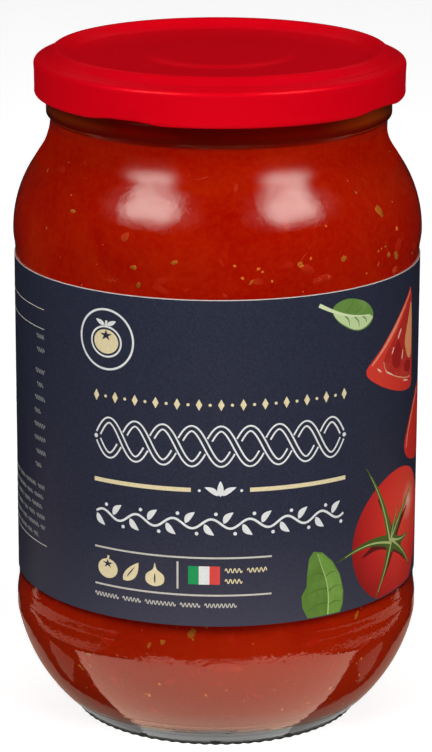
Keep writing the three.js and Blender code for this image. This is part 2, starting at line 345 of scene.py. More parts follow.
def turned(profile, segments, warp=None):
    """Vertices and faces of a profile turned about Z, with one vertex where it meets the axis.
    Angle 0 lies at the front, -Y, and grows towards +X. warp moves points: warp(r, z, angle)."""
    radius, height = np.array(profile, float).T
    on_axis = radius < SAME_PLACE
    angle = np.arange(segments) * 2 * math.pi / segments
    r, a = np.meshgrid(radius[~on_axis], angle, indexing="ij")
    z = np.repeat(height[~on_axis][:, None], segments, axis=1)
    if warp:
        r, z = warp(r, z, a)
    vertices = np.stack([r * np.sin(a), -r * np.cos(a), z], axis=-1).reshape(-1, 3)
    column = np.arange(segments)
    after = (column + 1) % segments
    last = (len(r) - 1) * segments
    faces = []
    for low in range(0, last, segments):
        high = low + segments
        faces += np.stack([low + column, low + after, high + after, high + column], -1).tolist()
    for end, here, there in ((0, after, column), (-1, last + column, last + after)):
        if on_axis[end]:
            pole = len(vertices)
            vertices = np.vstack([vertices, [0, 0, height[end]]])
            faces += [[pole, h, t] for h, t in zip(here.tolist(), there.tolist())]
    return vertices, faces


def smoothstep(value, low, high):
    """0 up to low, 1 from high on, and an eased rise between them; works on whole arrays."""
    t = np.clip((value - low) / (high - low), 0, 1)
    return t * t * (3 - 2 * t)


def placed(piece, node):
    """Rides the piece on the jar and hides the CAD node that it stands for, if one is given."""
    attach(piece, "root")
    if node:
        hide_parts(node)


# Materials

def new_material(name):
    """A material with its node tree and its main shader."""
    material = bpy.data.materials.new(name)
    material.use_nodes = True
    tree = material.node_tree
    return material, tree, tree.nodes["Principled BSDF"]


def plug(node, inputs):
    """Gives a node its inputs, by name or number: each a value, or a socket that is linked to it."""
    for key, value in inputs.items():
        if isinstance(value, bpy.types.NodeSocket):
            node.id_data.links.new(value, node.inputs[key])
        else:
            node.inputs[key].default_value = value


def add_node(tree, kind, inputs, **settings):
    """A new shader node with its settings and its inputs."""
    node = tree.nodes.new("ShaderNode" + kind)
    for key, value in settings.items():
        setattr(node, key, value)
    plug(node, inputs)
    return node


def source(tree, kind, output):
    """An output of a new node that needs no input, such as the object's own coordinates."""
    return tree.nodes.new("ShaderNode" + kind).outputs[output]


def part_of(tree, vector, axis):
    """One coordinate of a vector."""
    return add_node(tree, "SeparateXYZ", {"Vector": vector}).outputs[axis]


def noise(tree, scale, detail=3.0, roughness=0.5, stretch=(1, 1, 1), distortion=0.0):
    """Noise from 0 to 1 over the object's own coordinates; scale is in waves a metre."""
    mapping = add_node(tree, "Mapping", {"Vector": source(tree, "TexCoord", "Object"), "Scale": stretch})
    return add_node(tree, "TexNoise", {
        "Vector": mapping.outputs["Vector"], "Scale": scale, "Detail": detail,
        "Roughness": roughness, "Distortion": distortion}).outputs["Fac"]


def ramp(tree, value, stops):
    """Colours by value: stops are pairs of a position and a colour."""
    node = add_node(tree, "ValToRGB", {"Fac": value})
    elements = node.color_ramp.elements
    while len(elements) < len(stops):
        elements.new(0.5)
    for element, (position, tint) in zip(elements, stops):
        element.position = position
        element.color = tint
    return node.outputs["Color"]


def between(tree, value, low, high, to_low=0.0, to_high=1.0, curve="LINEAR"):
    """The value's stretch from low to high, mapped on to another stretch and held at its ends."""
    return add_node(tree, "MapRange", {
        "Value": value, "From Min": low, "From Max": high,
        "To Min": to_low, "To Max": to_high}, interpolation_type=curve).outputs["Result"]


def eased_between(tree, value, low, high):
    """As between, from 0 to 1, with soft ends."""
    return between(tree, value, low, high, curve="SMOOTHSTEP")


def mixed(tree, factor, first, second):
    """Two colours mixed by a factor; each is a colour or a socket."""
    return add_node(tree, "Mix", {0: factor, 6: first, 7: second}, data_type="RGBA").outputs[2]


def combined(tree, operation, first, second=0.0):
    """Two values added, multiplied and so on; the second may be a number."""
    return add_node(tree, "Math", {0: first, 1: second}, operation=operation).outputs["Value"]


def product(tree, first, second):
    """Two values multiplied."""
    return combined(tree, "MULTIPLY", first, second)


def either(tree, choice, first, second):
    """The first shader where the choice is 0, the second where it is 1, and a mix between."""
    return add_node(tree, "MixShader", {0: choice, 1: first, 2: second}).outputs["Shader"]


def add_bump(shader, height, distance):
    """Fine relief on a shader, with the height of its full stroke in millimetres."""
    inputs = {"Strength": 1.0, "Distance": distance * MM, "Height": height}
    normal = add_node(shader.id_data, "Bump", inputs).outputs["Normal"]
    plug(shader, {"Normal": normal})
    return normal


def object_height(tree):
    """Height above the jar's base, in metres."""
    return part_of(tree, source(tree, "TexCoord", "Object"), "Z")


def off_centre(tree):
    """Distance to the left or right of the jar's middle, in metres."""
    return combined(tree, "ABSOLUTE", part_of(tree, source(tree, "TexCoord", "Object"), "X"))


GLASS_TINT = colour(248, 252, 249)
GLASS_IOR = 1.5
GLASS_ROUGHNESS = 0.02
GLASS_RELIEF = 0.035
MOULD_LINE_STRENGTH = 2.5
# Zones of the glass, in metres up or to the side: where each begins, and where it is in full
MOULD_LINE_ZONE = (0.0075, 0.0055)
BELOW_NECK = (0.1222, 0.1212)
DULL_ABOVE = (0.1155, 0.1178)
DULL_ROUGHNESS = 0.26
UNLIT_ABOVE = (0.1138, 0.1162)
UNLIT_SHARE = 0.96
LIT_FROM = (0.0062, 0.0105)
LIT_TO = (0.0200, 0.0155)


def glass_material():
    """Clear glass with the faint ripple of its mould; light for what it holds passes straight in.
    Just under the neck it is duller, and beside its two highlights it mirrors hardly anything."""
    material, tree, shader = new_material("clear_glass")
    height, offset = object_height(tree), off_centre(tree)
    below_neck = eased_between(tree, height, *BELOW_NECK)
    dulled = product(tree, eased_between(tree, height, *DULL_ABOVE), below_neck)
    plug(shader, {"Base Color": GLASS_TINT, "IOR": GLASS_IOR, "Transmission Weight": 1.0,
                  "Roughness": between(tree, dulled, 0, 1, GLASS_ROUGHNESS, DULL_ROUGHNESS)})
    ripple = noise(tree, 760, detail=2.5, roughness=0.55)
    lines = product(tree, noise(tree, 1, detail=1, stretch=(60, 60, 1500)), MOULD_LINE_STRENGTH)
    relief = mixed(tree, between(tree, height, *MOULD_LINE_ZONE), ripple, lines)
    normal = add_bump(shader, relief, GLASS_RELIEF)
    lit = product(tree, eased_between(tree, offset, *LIT_FROM), eased_between(tree, offset, *LIT_TO))
    beside = product(tree, eased_between(tree, height, *UNLIT_ABOVE), below_neck)
    beside = product(tree, beside, between(tree, lit, 0, 1, UNLIT_SHARE, 0))
    unlit = add_node(tree, "BsdfRefraction", {
        "IOR": GLASS_IOR, "Roughness": GLASS_ROUGHNESS, "Normal": normal}).outputs["BSDF"]
    glass = either(tree, beside, shader.outputs["BSDF"], unlit)
    clear = source(tree, "BsdfTransparent", "BSDF")
    surface = either(tree, source(tree, "LightPath", "Is Shadow Ray"), glass, clear)
    plug(tree.nodes["Material Output"], {"Surface": surface})
    return material


PULP_STOPS = [(0.30, colour(180, 14, 0)), (0.5, colour(189, 23, 0)), (0.72, colour(198, 38, 3))]
GRAIN_TINT = colour(220, 66, 14)
# Painted light: the sauce turns lighter and more orange towards the heel
HEEL_LIGHT_TINT = colour(190, 45, 11)
HEEL_LIGHT_ZONE = (0.034, 0.017)
# Painted light: sauce that faces downwards turns grey, the pale table seen through the base glass
UNDERSIDE_LIGHT_TINT = colour(136, 134, 126)
UNDERSIDE_LIGHT_SLOPES = (-0.55, -0.9)
# Painted shade behind the mouth ring, under the lid's overhang: dark red low down, above that deep red in
# the middle, and orange at the sides, painted light through the ring's glass
RING_LOW_SHADE_TINT = colour(112, 14, 2)
RING_MIDDLE_SHADE_TINT = colour(148, 12, 0)
RING_SIDE_LIGHT_TINT = colour(188, 76, 14)
RING_LIT_SIDES = (0.018, 0.031)
RING_SHADE_RISE = (0.1240, 0.1256)
RING_SHADE_ZONE = (0.1226, 0.1236)


def sauce_material():
    """Cooked tomato: deep red pulp with soft clouds and fine grain, with painted light and shade on it:
    lighter towards the heel, grey on the underside where the pale table shows through the base, and the
    lid's shade behind the mouth ring."""
    material, tree, shader = new_material("cooked_tomato")
    clouds = noise(tree, 55, detail=3, roughness=0.6, distortion=0.6)
    grain = noise(tree, 900, detail=4, roughness=0.65)
    speckle = between(tree, grain, 0.4, 0.8, 0, 0.25)
    pulp = mixed(tree, speckle, ramp(tree, clouds, PULP_STOPS), GRAIN_TINT)
    height = object_height(tree)
    # painted light towards the heel
    lower = mixed(tree, between(tree, height, *HEEL_LIGHT_ZONE), pulp, HEEL_LIGHT_TINT)
    # painted light: faces turning downwards go grey with the pale table seen through the base
    slope = part_of(tree, source(tree, "NewGeometry", "Normal"), "Z")
    foot = mixed(tree, between(tree, slope, *UNDERSIDE_LIGHT_SLOPES), lower, UNDERSIDE_LIGHT_TINT)
    # painted shade under the lid behind the mouth ring, with orange painted light at its sides
    ring = mixed(tree, between(tree, off_centre(tree), *RING_LIT_SIDES), RING_MIDDLE_SHADE_TINT, RING_SIDE_LIGHT_TINT)
    ring = mixed(tree, eased_between(tree, height, *RING_SHADE_RISE), RING_LOW_SHADE_TINT, ring)
    plug(shader, {"Base Color": mixed(tree, between(tree, height, *RING_SHADE_ZONE), foot, ring),
                  "Roughness": 0.6, "Specular IOR Level": 0.0})
    add_bump(shader, noise(tree, 500, detail=4, roughness=0.6), 0.12)
    return material


def fleck_material(name, tints, scale):
    """Bits in the sauce, each taking a tint from a slow noise and mottled by a finer one."""
    material, tree, shader = new_material(name)
    step = 1 / max(1, len(tints) - 1)
    stops = [(0.3 + 0.4 * i * step, tint) for i, tint in enumerate(tints)]
    base = ramp(tree, noise(tree, scale, detail=1), stops)
    mottle = between(tree, noise(tree, 1800, detail=3), 0.35, 0.7, 0, 0.35)
    plug(shader, {"Base Color": mixed(tree, mottle, base, tints[0]), "Roughness": 0.55,
                  "Specular IOR Level": 0.0})
    return material


INK_ROUGHNESS = 0.42
INK_SHINE = 0.25
SCREEN_SHADE = 0.86
# Painted sheen: where the paler ink low on the label fades in, in metres up
LOW_SHEEN_ZONE = (0.050, 0.019)


def ink_material(name, tint, second=None, low=None):
    """Printed paper: one ink, with a paler one low down that is a painted sheen of the pale floor, and
    the mottle of screen and fibres.
    """
    material, tree, shader = new_material(name)
    second = second or tuple(min(1, c * SCREEN_SHADE) for c in tint[:3]) + (1.0,)
    screen = between(tree, noise(tree, 2600, detail=2, roughness=0.7), 0.3, 0.7)
    ink = mixed(tree, screen, tint, second)
    # painted sheen: paler ink low down for the pale floor's light on the paper
    if low:
        ink = mixed(tree, between(tree, object_height(tree), *LOW_SHEEN_ZONE), ink, low)
    paper = noise(tree, 700, detail=4, roughness=0.7)
    dullness = between(tree, paper, 0.3, 0.7, INK_ROUGHNESS - 0.05, INK_ROUGHNESS + 0.05)
    plug(shader, {"Base Color": ink, "Roughness": dullness, "Specular IOR Level": INK_SHINE})
    add_bump(shader, paper, 0.012)
    return material


def lacquer_material():
    """Satin red lacquer that the tinplate shines through, with the faint peel of a sprayed coat."""
    material, tree, shader = new_material("red_lacquer")
    tone = mixed(tree, noise(tree, 60, detail=2), colour(226, 0, 20), colour(234, 2, 27))
    peel = noise(tree, 1300, detail=3, roughness=0.6)
    plug(shader, {"Base Color": tone, "Roughness": between(tree, peel, 0.3, 0.7, 0.46, 0.54),
                  "Metallic": 0.12, "Specular IOR Level": 0.02, "Coat Weight": 0.09,
                  "Coat Roughness": 0.13})
    add_bump(shader, peel, 0.012)
    return material


# Jar

def thread_rise(z, angle):
    """How far the threads stand out of the finish at a height and an angle."""
    pitch = 2 * math.pi / THREAD_COUNT
    along = ((angle - THREAD_FIRST_ANGLE) / pitch + 0.5) % 1.0 - 0.5
    along = along * pitch / THREAD_SPAN
    middle = THREAD_MIDDLE - along * THREAD_DROP
    across = np.clip(1 - ((z - middle) / (1.5 * THREAD_HALF_HEIGHT)) ** 2, 0, 1)
    ends = np.clip(1 - (2 * along) ** 4, 0, 1)
    return THREAD_REACH * smoothstep(across, 0, 0.8) * ends


def glass_warp(r, z, angle):
    """Knurls under the bearing ring, mould rings above it, threads, and slow waves in the wall."""
    outside = np.arange(len(r))[:, None] < OUTSIDE_ROWS
    knurl = 0.5 + 0.5 * np.cos(KNURL_COUNT * angle)
    on_bearing = (1 - smoothstep(z, 0, KNURL_ZONE_TOP)) * (r > BEARING_INNER_RADIUS - 0.5)
    lift = KNURL_DEPTH * on_bearing * (1 - knurl ** 0.7)
    heel_zone = smoothstep(z, MOULD_RINGS_FROM, MOULD_RINGS_FROM + 0.8)
    heel_zone = heel_zone * (1 - smoothstep(z, MOULD_RINGS_TO - 1.5, MOULD_RINGS_TO))
    rings = MOULD_RING_DEPTH * heel_zone * np.sin(2 * math.pi * z / MOULD_RING_PITCH)
    body = smoothstep(z, *WAVES_FROM) * (1 - smoothstep(z, *WAVES_TO))
    waves = GLASS_WAVE * body * sum(share * np.sin(turns * angle + rise * z + start)
                                    for share, turns, rise, start in GLASS_WAVES)
    on_finish = (z > FINISH_FROM + 0.4) & (r > (BORE_RADIUS + FINISH_RADIUS) / 2)
    threads = np.where(on_finish, thread_rise(z, angle), 0)
    return r + outside * (rings + waves + threads), z + outside * lift


def lean(vertices):
    """Moves the mouth of the jar a little to the right."""
    vertices[:, 0] += MOUTH_OFFSET * smoothstep(vertices[:, 2], MOUTH_OFFSET_FROM, MOUTH_OFFSET_FULL)


def make_glass():
    vertices, faces = turned(GLASS_PROFILE, GLASS_AROUND, glass_warp)
    lean(vertices)
    piece = mesh_object("jar_glass_shell", vertices, faces, [glass_material()])
    placed(piece, "glass_jar")


GLASS_OUTSIDE = joined(outer_profile(), rim_profile())
GLASS_PROFILE = joined(GLASS_OUTSIDE, inner_profile(0))
OUTSIDE_ROWS = sum(1 for radius, height in GLASS_OUTSIDE if radius > SAME_PLACE)


# Sauce

def sauce_profile():
    """Sauce from the middle of the jar's floor, out to the wall, and up to its level surface."""
    wall = inner_profile(SAUCE_INTO_WALL)[::-1]
    edge = BORE_RADIUS + SAUCE_INTO_WALL
    return joined(wall, line((edge, wall[-1][1]), (edge, SAUCE_LEVEL), 4),
                  line((edge, SAUCE_LEVEL), (0, SAUCE_LEVEL + 0.2), 10))


def make_sauce():
    vertices, faces = turned(sauce_profile(), SAUCE_AROUND)
    lean(vertices)
    placed(mesh_object("sauce_body", vertices, faces, [sauce_material()]), "sauce")


class SauceSurface:
    """The sauce's side by its length along the wall, measured up from the jar's floor."""

    def __init__(self):
        points = np.array([p for p in sauce_profile() if p[1] < SAUCE_LEVEL - 1])
        steps = np.hypot(*np.diff(points, axis=0).T)
        self.length = np.concatenate([[0], np.cumsum(steps)])
        self.radius, self.height = points.T

    def length_at(self, height):
        side = self.radius > self.radius.max() * 0.5
        return float(np.interp(height, self.height[side], self.length[side]))

    def at(self, length):
        """Radius and height at a length along the wall."""
        return [float(np.interp(length, self.length, v)) for v in (self.radius, self.height)]

    def point(self, angle, length, lift):
        """A point lifted out of the sauce, square to its side."""
        radius, height = self.at(length)
        slope = np.array(self.at(length + SLOPE_STEP)) - np.array(self.at(length - SLOPE_STEP))
        slope /= math.hypot(*slope)
        radius += lift * slope[1]
        height -= lift * slope[0]
        return (radius * math.sin(angle), -radius * math.cos(angle), height)


# Bits in the sauce: how far their middle, edge and root stand out of its side, and the share of their
# outline at which they are highest
FLECK_LIFT = 0.05
SOFT_LIFT = 0.015
SKIN_LIFT = 0.03
FLECK_EDGE = -0.03
FLECK_ROOT = -0.12
FLECK_INNER = 0.82
# Stretch of the sauce's side from which its slope is taken
SLOPE_STEP = 0.3


def fleck(surface, angle, length, outline, lift=FLECK_LIFT):
    """A thin bit pressed against the glass: its outline lies in the sauce, its middle stands proud."""
    radius = surface.at(length)[0]
    rings = [(1.0, FLECK_EDGE), (FLECK_INNER, lift)]
    vertices = [surface.point(angle + scale * s / radius, length + scale * t, height)
                for scale, height in rings for s, t in outline]
    vertices.append(surface.point(angle, length, lift))
    vertices.append(surface.point(angle, length, FLECK_ROOT))
    count = len(outline)
    top, root = 2 * count, 2 * count + 1
    faces = []
    for i in range(count):
        n = (i + 1) % count
        faces += [(i, n, count + n, count + i), (count + i, count + n, top), (n, i, root)]
    return vertices, faces


def rotated(s, t, turn):
    """A flat point turned anticlockwise about the origin."""
    return (s * math.cos(turn) - t * math.sin(turn), s * math.sin(turn) + t * math.cos(turn))


def ragged_outline(draw, size, slenderness, corners, turn):
    """An uneven outline about the origin: size is its length and slenderness its width to length."""
    points = []
    for i in range(corners):
        around = 2 * math.pi * (i + draw.uniform(-0.3, 0.3)) / corners
        reach = size / 2 * draw.uniform(0.7, 1.1)
        points.append(rotated(reach * math.cos(around), reach * slenderness * math.sin(around), turn))
    return points


def seed_outline(size, turn, corners=12):
    """A tomato seed: round at one end and drawn out to a blunt point at the other."""
    points = []
    for i in range(corners):
        around = 2 * math.pi * i / corners
        t = size * 0.33 * math.sin(around) * (1 - 0.35 * math.cos(around))
        points.append(rotated(size / 2 * math.cos(around), t, turn))
    return points


# Where bits lie: from the foot of the side to below the neck, with fewer of them high up
FLECK_HEIGHTS = (5.5, 118)
CROWDED_BELOW = 103
SHARE_ABOVE = 0.35
BEHIND_LABEL = (LABEL_BOTTOM + 3, LABEL_TOP - 3)


def scattered_place(draw, surface):
    """A random angle and length on the sauce's side, clear of the part that the label hides."""
    while True:
        length = draw.uniform(*(surface.length_at(height) for height in FLECK_HEIGHTS))
        height = surface.at(length)[1]
        hidden = BEHIND_LABEL[0] < height < BEHIND_LABEL[1]
        wanted = height < CROWDED_BELOW or draw.random() < SHARE_ABOVE
        if not hidden and wanted:
            return draw.uniform(-math.pi, math.pi), length


# Kinds of bits: name of the material, its tints and the scale of its noise, and the slot
FLECKS = {
    "herb_flecks": ("herb", [(196, 100, 32), (208, 126, 46), (172, 104, 32)], 300, "herbs"),
    "bright_specks": ("speck", [(246, 118, 36), (252, 152, 66), (232, 90, 28)], 300, "tomato_sauce"),
    "tomato_pulp": ("pulp", [(202, 42, 18), (198, 34, 11), (210, 56, 30)], 200, "tomato_sauce"),
    "tomato_seeds": ("seed", [(206, 62, 26), (214, 78, 36)], 300, "tomato_sauce"),
    "tomato_skins": ("skin", [(214, 64, 36), (208, 52, 26)], 300, "tomato_sauce"),
}
# Bits at random places: number, shortest and longest, slimmest and stoutest, corners and lift
SCATTERED = {
    "herb_flecks": (90, 0.7, 1.9, 0.35, 0.75, 7, FLECK_LIFT),
    "bright_specks": (150, 0.25, 0.8, 0.6, 1.0, 6, FLECK_LIFT),
    "tomato_pulp": (170, 1.5, 4.5, 0.35, 0.7, 10, SOFT_LIFT),
}
# Seeds and skins: number, and shortest and longest
SEED_COUNT = 8
SEED_SIZES = (2.0, 2.7)
SKIN_COUNT = 16
SKIN_SIZES = (2, 5)
SKIN_SLENDERNESS = 0.09


def collect(name, bits, material):
    """One piece out of many small closed bodies."""
    vertices, faces = [], []
    for points, corners in bits:
        faces += [tuple(c + len(vertices) for c in face) for face in corners]
        vertices += points
    placed(mesh_object(name, vertices, faces, [material]), None)


# Bits that stand out at the front: angle in degrees, height, length, slenderness and turn in degrees
FRONT_LEAVES = [
    (-7.0, 27.6, 3.0, 0.55, 60), (-19.5, 24.4, 1.7, 0.5, 75), (-15.5, 25.2, 1.5, 0.55, 40),
    (61.0, 99.5, 2.4, 0.6, -50), (38.0, 101.5, 1.8, 0.7, 20), (-24.0, 100.8, 1.7, 0.6, 0),
    (-12.0, 102.3, 1.6, 0.6, 20), (45.0, 27.5, 2.3, 0.45, 70), (-22.5, 97.6, 1.8, 0.55, 65),
    (9.5, 98.8, 1.5, 0.4, 55), (55.2, 108.3, 3.3, 0.6, -55), (-40.0, 20.0, 1.3, 0.6, 10),
]
FRONT_SPECKS = [
    (11.5, 101.2, 0.9), (12.6, 100.6, 0.7), (7.0, 99.6, 0.8), (24.0, 101.3, 1.2), (27.0, 102.4, 0.8),
    (62.0, 104.2, 1.1), (-21.0, 13.5, 1.1), (-17.0, 16.5, 0.8), (38.0, 13.0, 1.0), (31.0, 10.5, 0.9),
    (33.0, 107.8, 0.6), (-3.0, 14.5, 0.8), (48.0, 18.0, 0.8),
]
FRONT_PULP = [
    (31.0, 98.3, 5.6, 0.42, 8), (26.0, 100.4, 4.0, 0.5, -20), (-16.0, 98.6, 3.6, 0.5, 30),
    (20.0, 101.6, 3.4, 0.5, 10), (5.0, 20.5, 4.4, 0.6, 0), (12.0, 14.0, 3.8, 0.4, -30),
    (-32.0, 25.5, 4.0, 0.5, 10), (29.0, 24.0, 3.8, 0.5, 15), (62.0, 101.0, 4.2, 0.6, 60),
]


def make_flecks():
    """Herb leaves, bright specks, soft pulp, seeds and skins that lie against the glass."""
    draw = random.Random(41)
    surface = SauceSurface()
    bits = {kind: [] for kind in FLECKS}

    def front_bit(kind, angle, height, outline, lift=FLECK_LIFT):
        place = (math.radians(angle), surface.length_at(height))
        bits[kind].append(fleck(surface, *place, outline, lift))

    for angle, height, size, slenderness, turn in FRONT_LEAVES:
        outline = ragged_outline(draw, size, slenderness, 7, math.radians(turn))
        front_bit("herb_flecks", angle, height, outline)
    for angle, height, size in FRONT_SPECKS:
        outline = ragged_outline(draw, size, 0.8, 7, draw.uniform(0, math.pi))
        front_bit("bright_specks", angle, height, outline)
    for angle, height, size, slenderness, turn in FRONT_PULP:
        outline = ragged_outline(draw, size, slenderness, 11, math.radians(turn))
        front_bit("tomato_pulp", angle, height, outline, SOFT_LIFT)
    for kind, (count, small, large, slim, stout, corners, lift) in SCATTERED.items():
        for _ in range(count):
            place = scattered_place(draw, surface)
            size = small + (large - small) * draw.random() ** 2
            shape = (draw.uniform(slim, stout), corners, draw.uniform(0, math.pi))
            bits[kind].append(fleck(surface, *place, ragged_outline(draw, size, *shape), lift))
    for _ in range(SEED_COUNT):
        place = scattered_place(draw, surface)
        outline = seed_outline(draw.uniform(*SEED_SIZES), draw.uniform(0, 2 * math.pi))
        bits["tomato_seeds"].append(fleck(surface, *place, outline))
    for _ in range(SKIN_COUNT):
        place = scattered_place(draw, surface)
        shape = (draw.uniform(*SKIN_SIZES), SKIN_SLENDERNESS, 9, draw.uniform(0, math.pi))
        bits["tomato_skins"].append(fleck(surface, *place, ragged_outline(draw, *shape), SKIN_LIFT))
    for kind, (name, tints, scale, slot) in FLECKS.items():
        tints = [colour(*tint) for tint in tints]
        collect(kind, bits[kind], fleck_material(name, tints, scale))


# Lid

def lid_face():
    """Upper face of the lid's sheet, from the middle of the button out and down to the curl."""
    panel, groove, crest_top = LID_PANEL_HEIGHT, LID_GROOVE_HEIGHT, LID_CREST_HEIGHT
    button = panel + LID_BUTTON_RISE
    panel_edge = (LID_PANEL_RADIUS - 0.6, panel)
    skirt_top = (LID_SKIRT_RADIUS, LID_SKIRT_TOP - 1.6)
    skirt_foot = (LID_SKIRT_RADIUS, LUG_ZONE_TOP + 0.4)
    round_centre = (LID_TOP_EDGE_RADIUS - LID_SHOULDER_ROUND, LID_SKIRT_TOP)
    shoulder = arc(round_centre, LID_SHOULDER_ROUND, math.pi / 2 - 0.15, 0, 10)
    crest = spline([
        panel_edge,
        (LID_PANEL_RADIUS + 0.2, panel + 0.12),
        ((LID_PANEL_RADIUS + LID_CREST_INNER) / 2, (panel + crest_top) / 2 - 0.2),
        (LID_CREST_INNER, crest_top - 0.12),
        ((LID_CREST_INNER + LID_CREST_OUTER) / 2, crest_top),
        (LID_CREST_OUTER, crest_top - 0.15),
        ((LID_CREST_OUTER + LID_GROOVE_RADIUS) / 2, (crest_top + groove) / 2 - 0.1),
        (LID_GROOVE_RADIUS, groove),
        (LID_GROOVE_RADIUS + 0.6, groove - 0.1),
        shoulder[0]], 6)
    return joined(
        line((0, button + 0.1), (LID_BUTTON_TOP_RADIUS, button), 8),
        eased((LID_BUTTON_TOP_RADIUS, button), (LID_BUTTON_FOOT_RADIUS, panel), 10),
        line((LID_BUTTON_FOOT_RADIUS, panel), panel_edge, 8),
        crest, shoulder,
        line(shoulder[-1], skirt_top, 4),
        line(skirt_top, skirt_foot, 2),
        spline([skirt_foot,
                (LID_SKIRT_RADIUS - LID_WAIST / 2, LUG_ZONE_TOP - 0.2),
                (LID_SKIRT_RADIUS - LID_WAIST, LUG_ZONE_TOP - 0.9),
                (LID_SKIRT_RADIUS - LID_WAIST / 3, LUG_ZONE_TOP - 1.5),
                (LID_SKIRT_RADIUS, LID_BOTTOM + LID_CURL_RADIUS)], 4),
    )


def inset_line(points, distance):
    """The same line moved inwards by a distance, square to its own direction."""
    points = np.array(points)
    along = np.gradient(points, axis=0)
    along /= np.hypot(*along.T)[:, None]
    inset = points + distance * np.stack([along[:, 1], -along[:, 0]], axis=1)
    inset[0] = (0, points[0][1] - distance)
    return [tuple(p) for p in inset]


def lug_warp(r, z, angle):
    """Presses the lugs inwards and lifts the corner of the skirt over each of them."""
    pitch = 2 * math.pi / LUG_COUNT
    from_first = (angle - LUG_FIRST_ANGLE) / pitch
    offset = np.abs(from_first - np.round(from_first)) * pitch
    weight = 1 - smoothstep(offset, LUG_FLAT_HALF_WIDTH, LUG_HALF_WIDTH)
    weight = weight * (r > LID_PANEL_RADIUS) * (z < LUG_ZONE_TOP)
    inwards = (LID_SKIRT_RADIUS - r) / (2 * LID_CURL_RADIUS)
    low = (LUG_ZONE_TOP - z) / (LUG_ZONE_TOP - LID_BOTTOM)
    push = weight * (LUG_REACH * inwards + LUG_CORNER_TUCK * low * low)
    return r - push, z + weight * LUG_LIFT * low * low


def make_lid():
    face = lid_face()
    curl_centre = (LID_SKIRT_RADIUS - LID_CURL_RADIUS, LID_BOTTOM + LID_CURL_RADIUS)
    curl = arc(curl_centre, LID_CURL_RADIUS, 0, -1.5 * math.pi, 20)
    profile = joined(face, curl, inset_line(face, LID_SHEET)[::-1])[::-1]
    vertices, faces = turned(profile, LID_AROUND, lug_warp)
    vertices[:, 0] += LID_OFFSET
    placed(mesh_object("lid_shell", vertices, faces, [lacquer_material()]), "lid")


# Label

def label_radius(angle):
    """Outside of the paper at an angle: it stands a sheet higher where its end laps over."""
    sheet = LABEL_OUTER_RADIUS - LABEL_INNER_RADIUS
    edge = math.radians(0.15)
    lap = smoothstep(angle, LABEL_LAP_START - edge, LABEL_LAP_START)
    lap = lap * (1 - smoothstep(angle, LABEL_LAP_END, LABEL_LAP_END + edge))
    return LABEL_OUTER_RADIUS + sheet * lap


def make_label(navy, white):
    """The paper band: ink on its face up to a hair of bare paper at its upper edge."""
    heights = (LABEL_BOTTOM, LABEL_BOTTOM + LABEL_MARGIN / 2, LABEL_TOP - LABEL_MARGIN, LABEL_TOP)
    face = [(LABEL_OUTER_RADIUS, height) for height in heights]
    profile = [*face, (LABEL_INNER_RADIUS, LABEL_TOP), (LABEL_INNER_RADIUS, LABEL_BOTTOM), face[0]]

    def lapped(r, z, angle):
        return np.where(r > LABEL_INNER_RADIUS + 0.01, label_radius(angle), r), z

    vertices, faces = turned(profile, LABEL_AROUND, lapped)
    last = (len(profile) - 1) * LABEL_AROUND
    faces = [[v - last if v >= last else v for v in face] for face in faces]
    rows = np.arange(len(faces)) // LABEL_AROUND
    piece = mesh_object("label_band", vertices[:last], faces, [navy, white], rows > 1, smooth=False)
    piece.data.polygons.foreach_set("use_smooth", rows < len(face) - 1)
    piece.data.set_sharp_from_angle(angle=math.radians(40))
    placed(piece, "label")


# Print, in label coordinates: u goes right round the label from the middle of its front, v is height

PRINT_ROOT = -0.02
FIRST_LAYER = 0.02
LAYER_STEP = 0.012
# Longest step of an outline, and how near to it a point inside may lie, as a share of the step
PRINT_STEP = 0.8
CLEAR_SHARE = 0.45


def on_label(points, height):
    """Points of the print wrapped round the label, a height above its face."""
    radius = LABEL_OUTER_RADIUS + height
    return [(radius * math.sin(u / LABEL_OUTER_RADIUS), -radius * math.cos(u / LABEL_OUTER_RADIUS), v)
            for u, v in points]


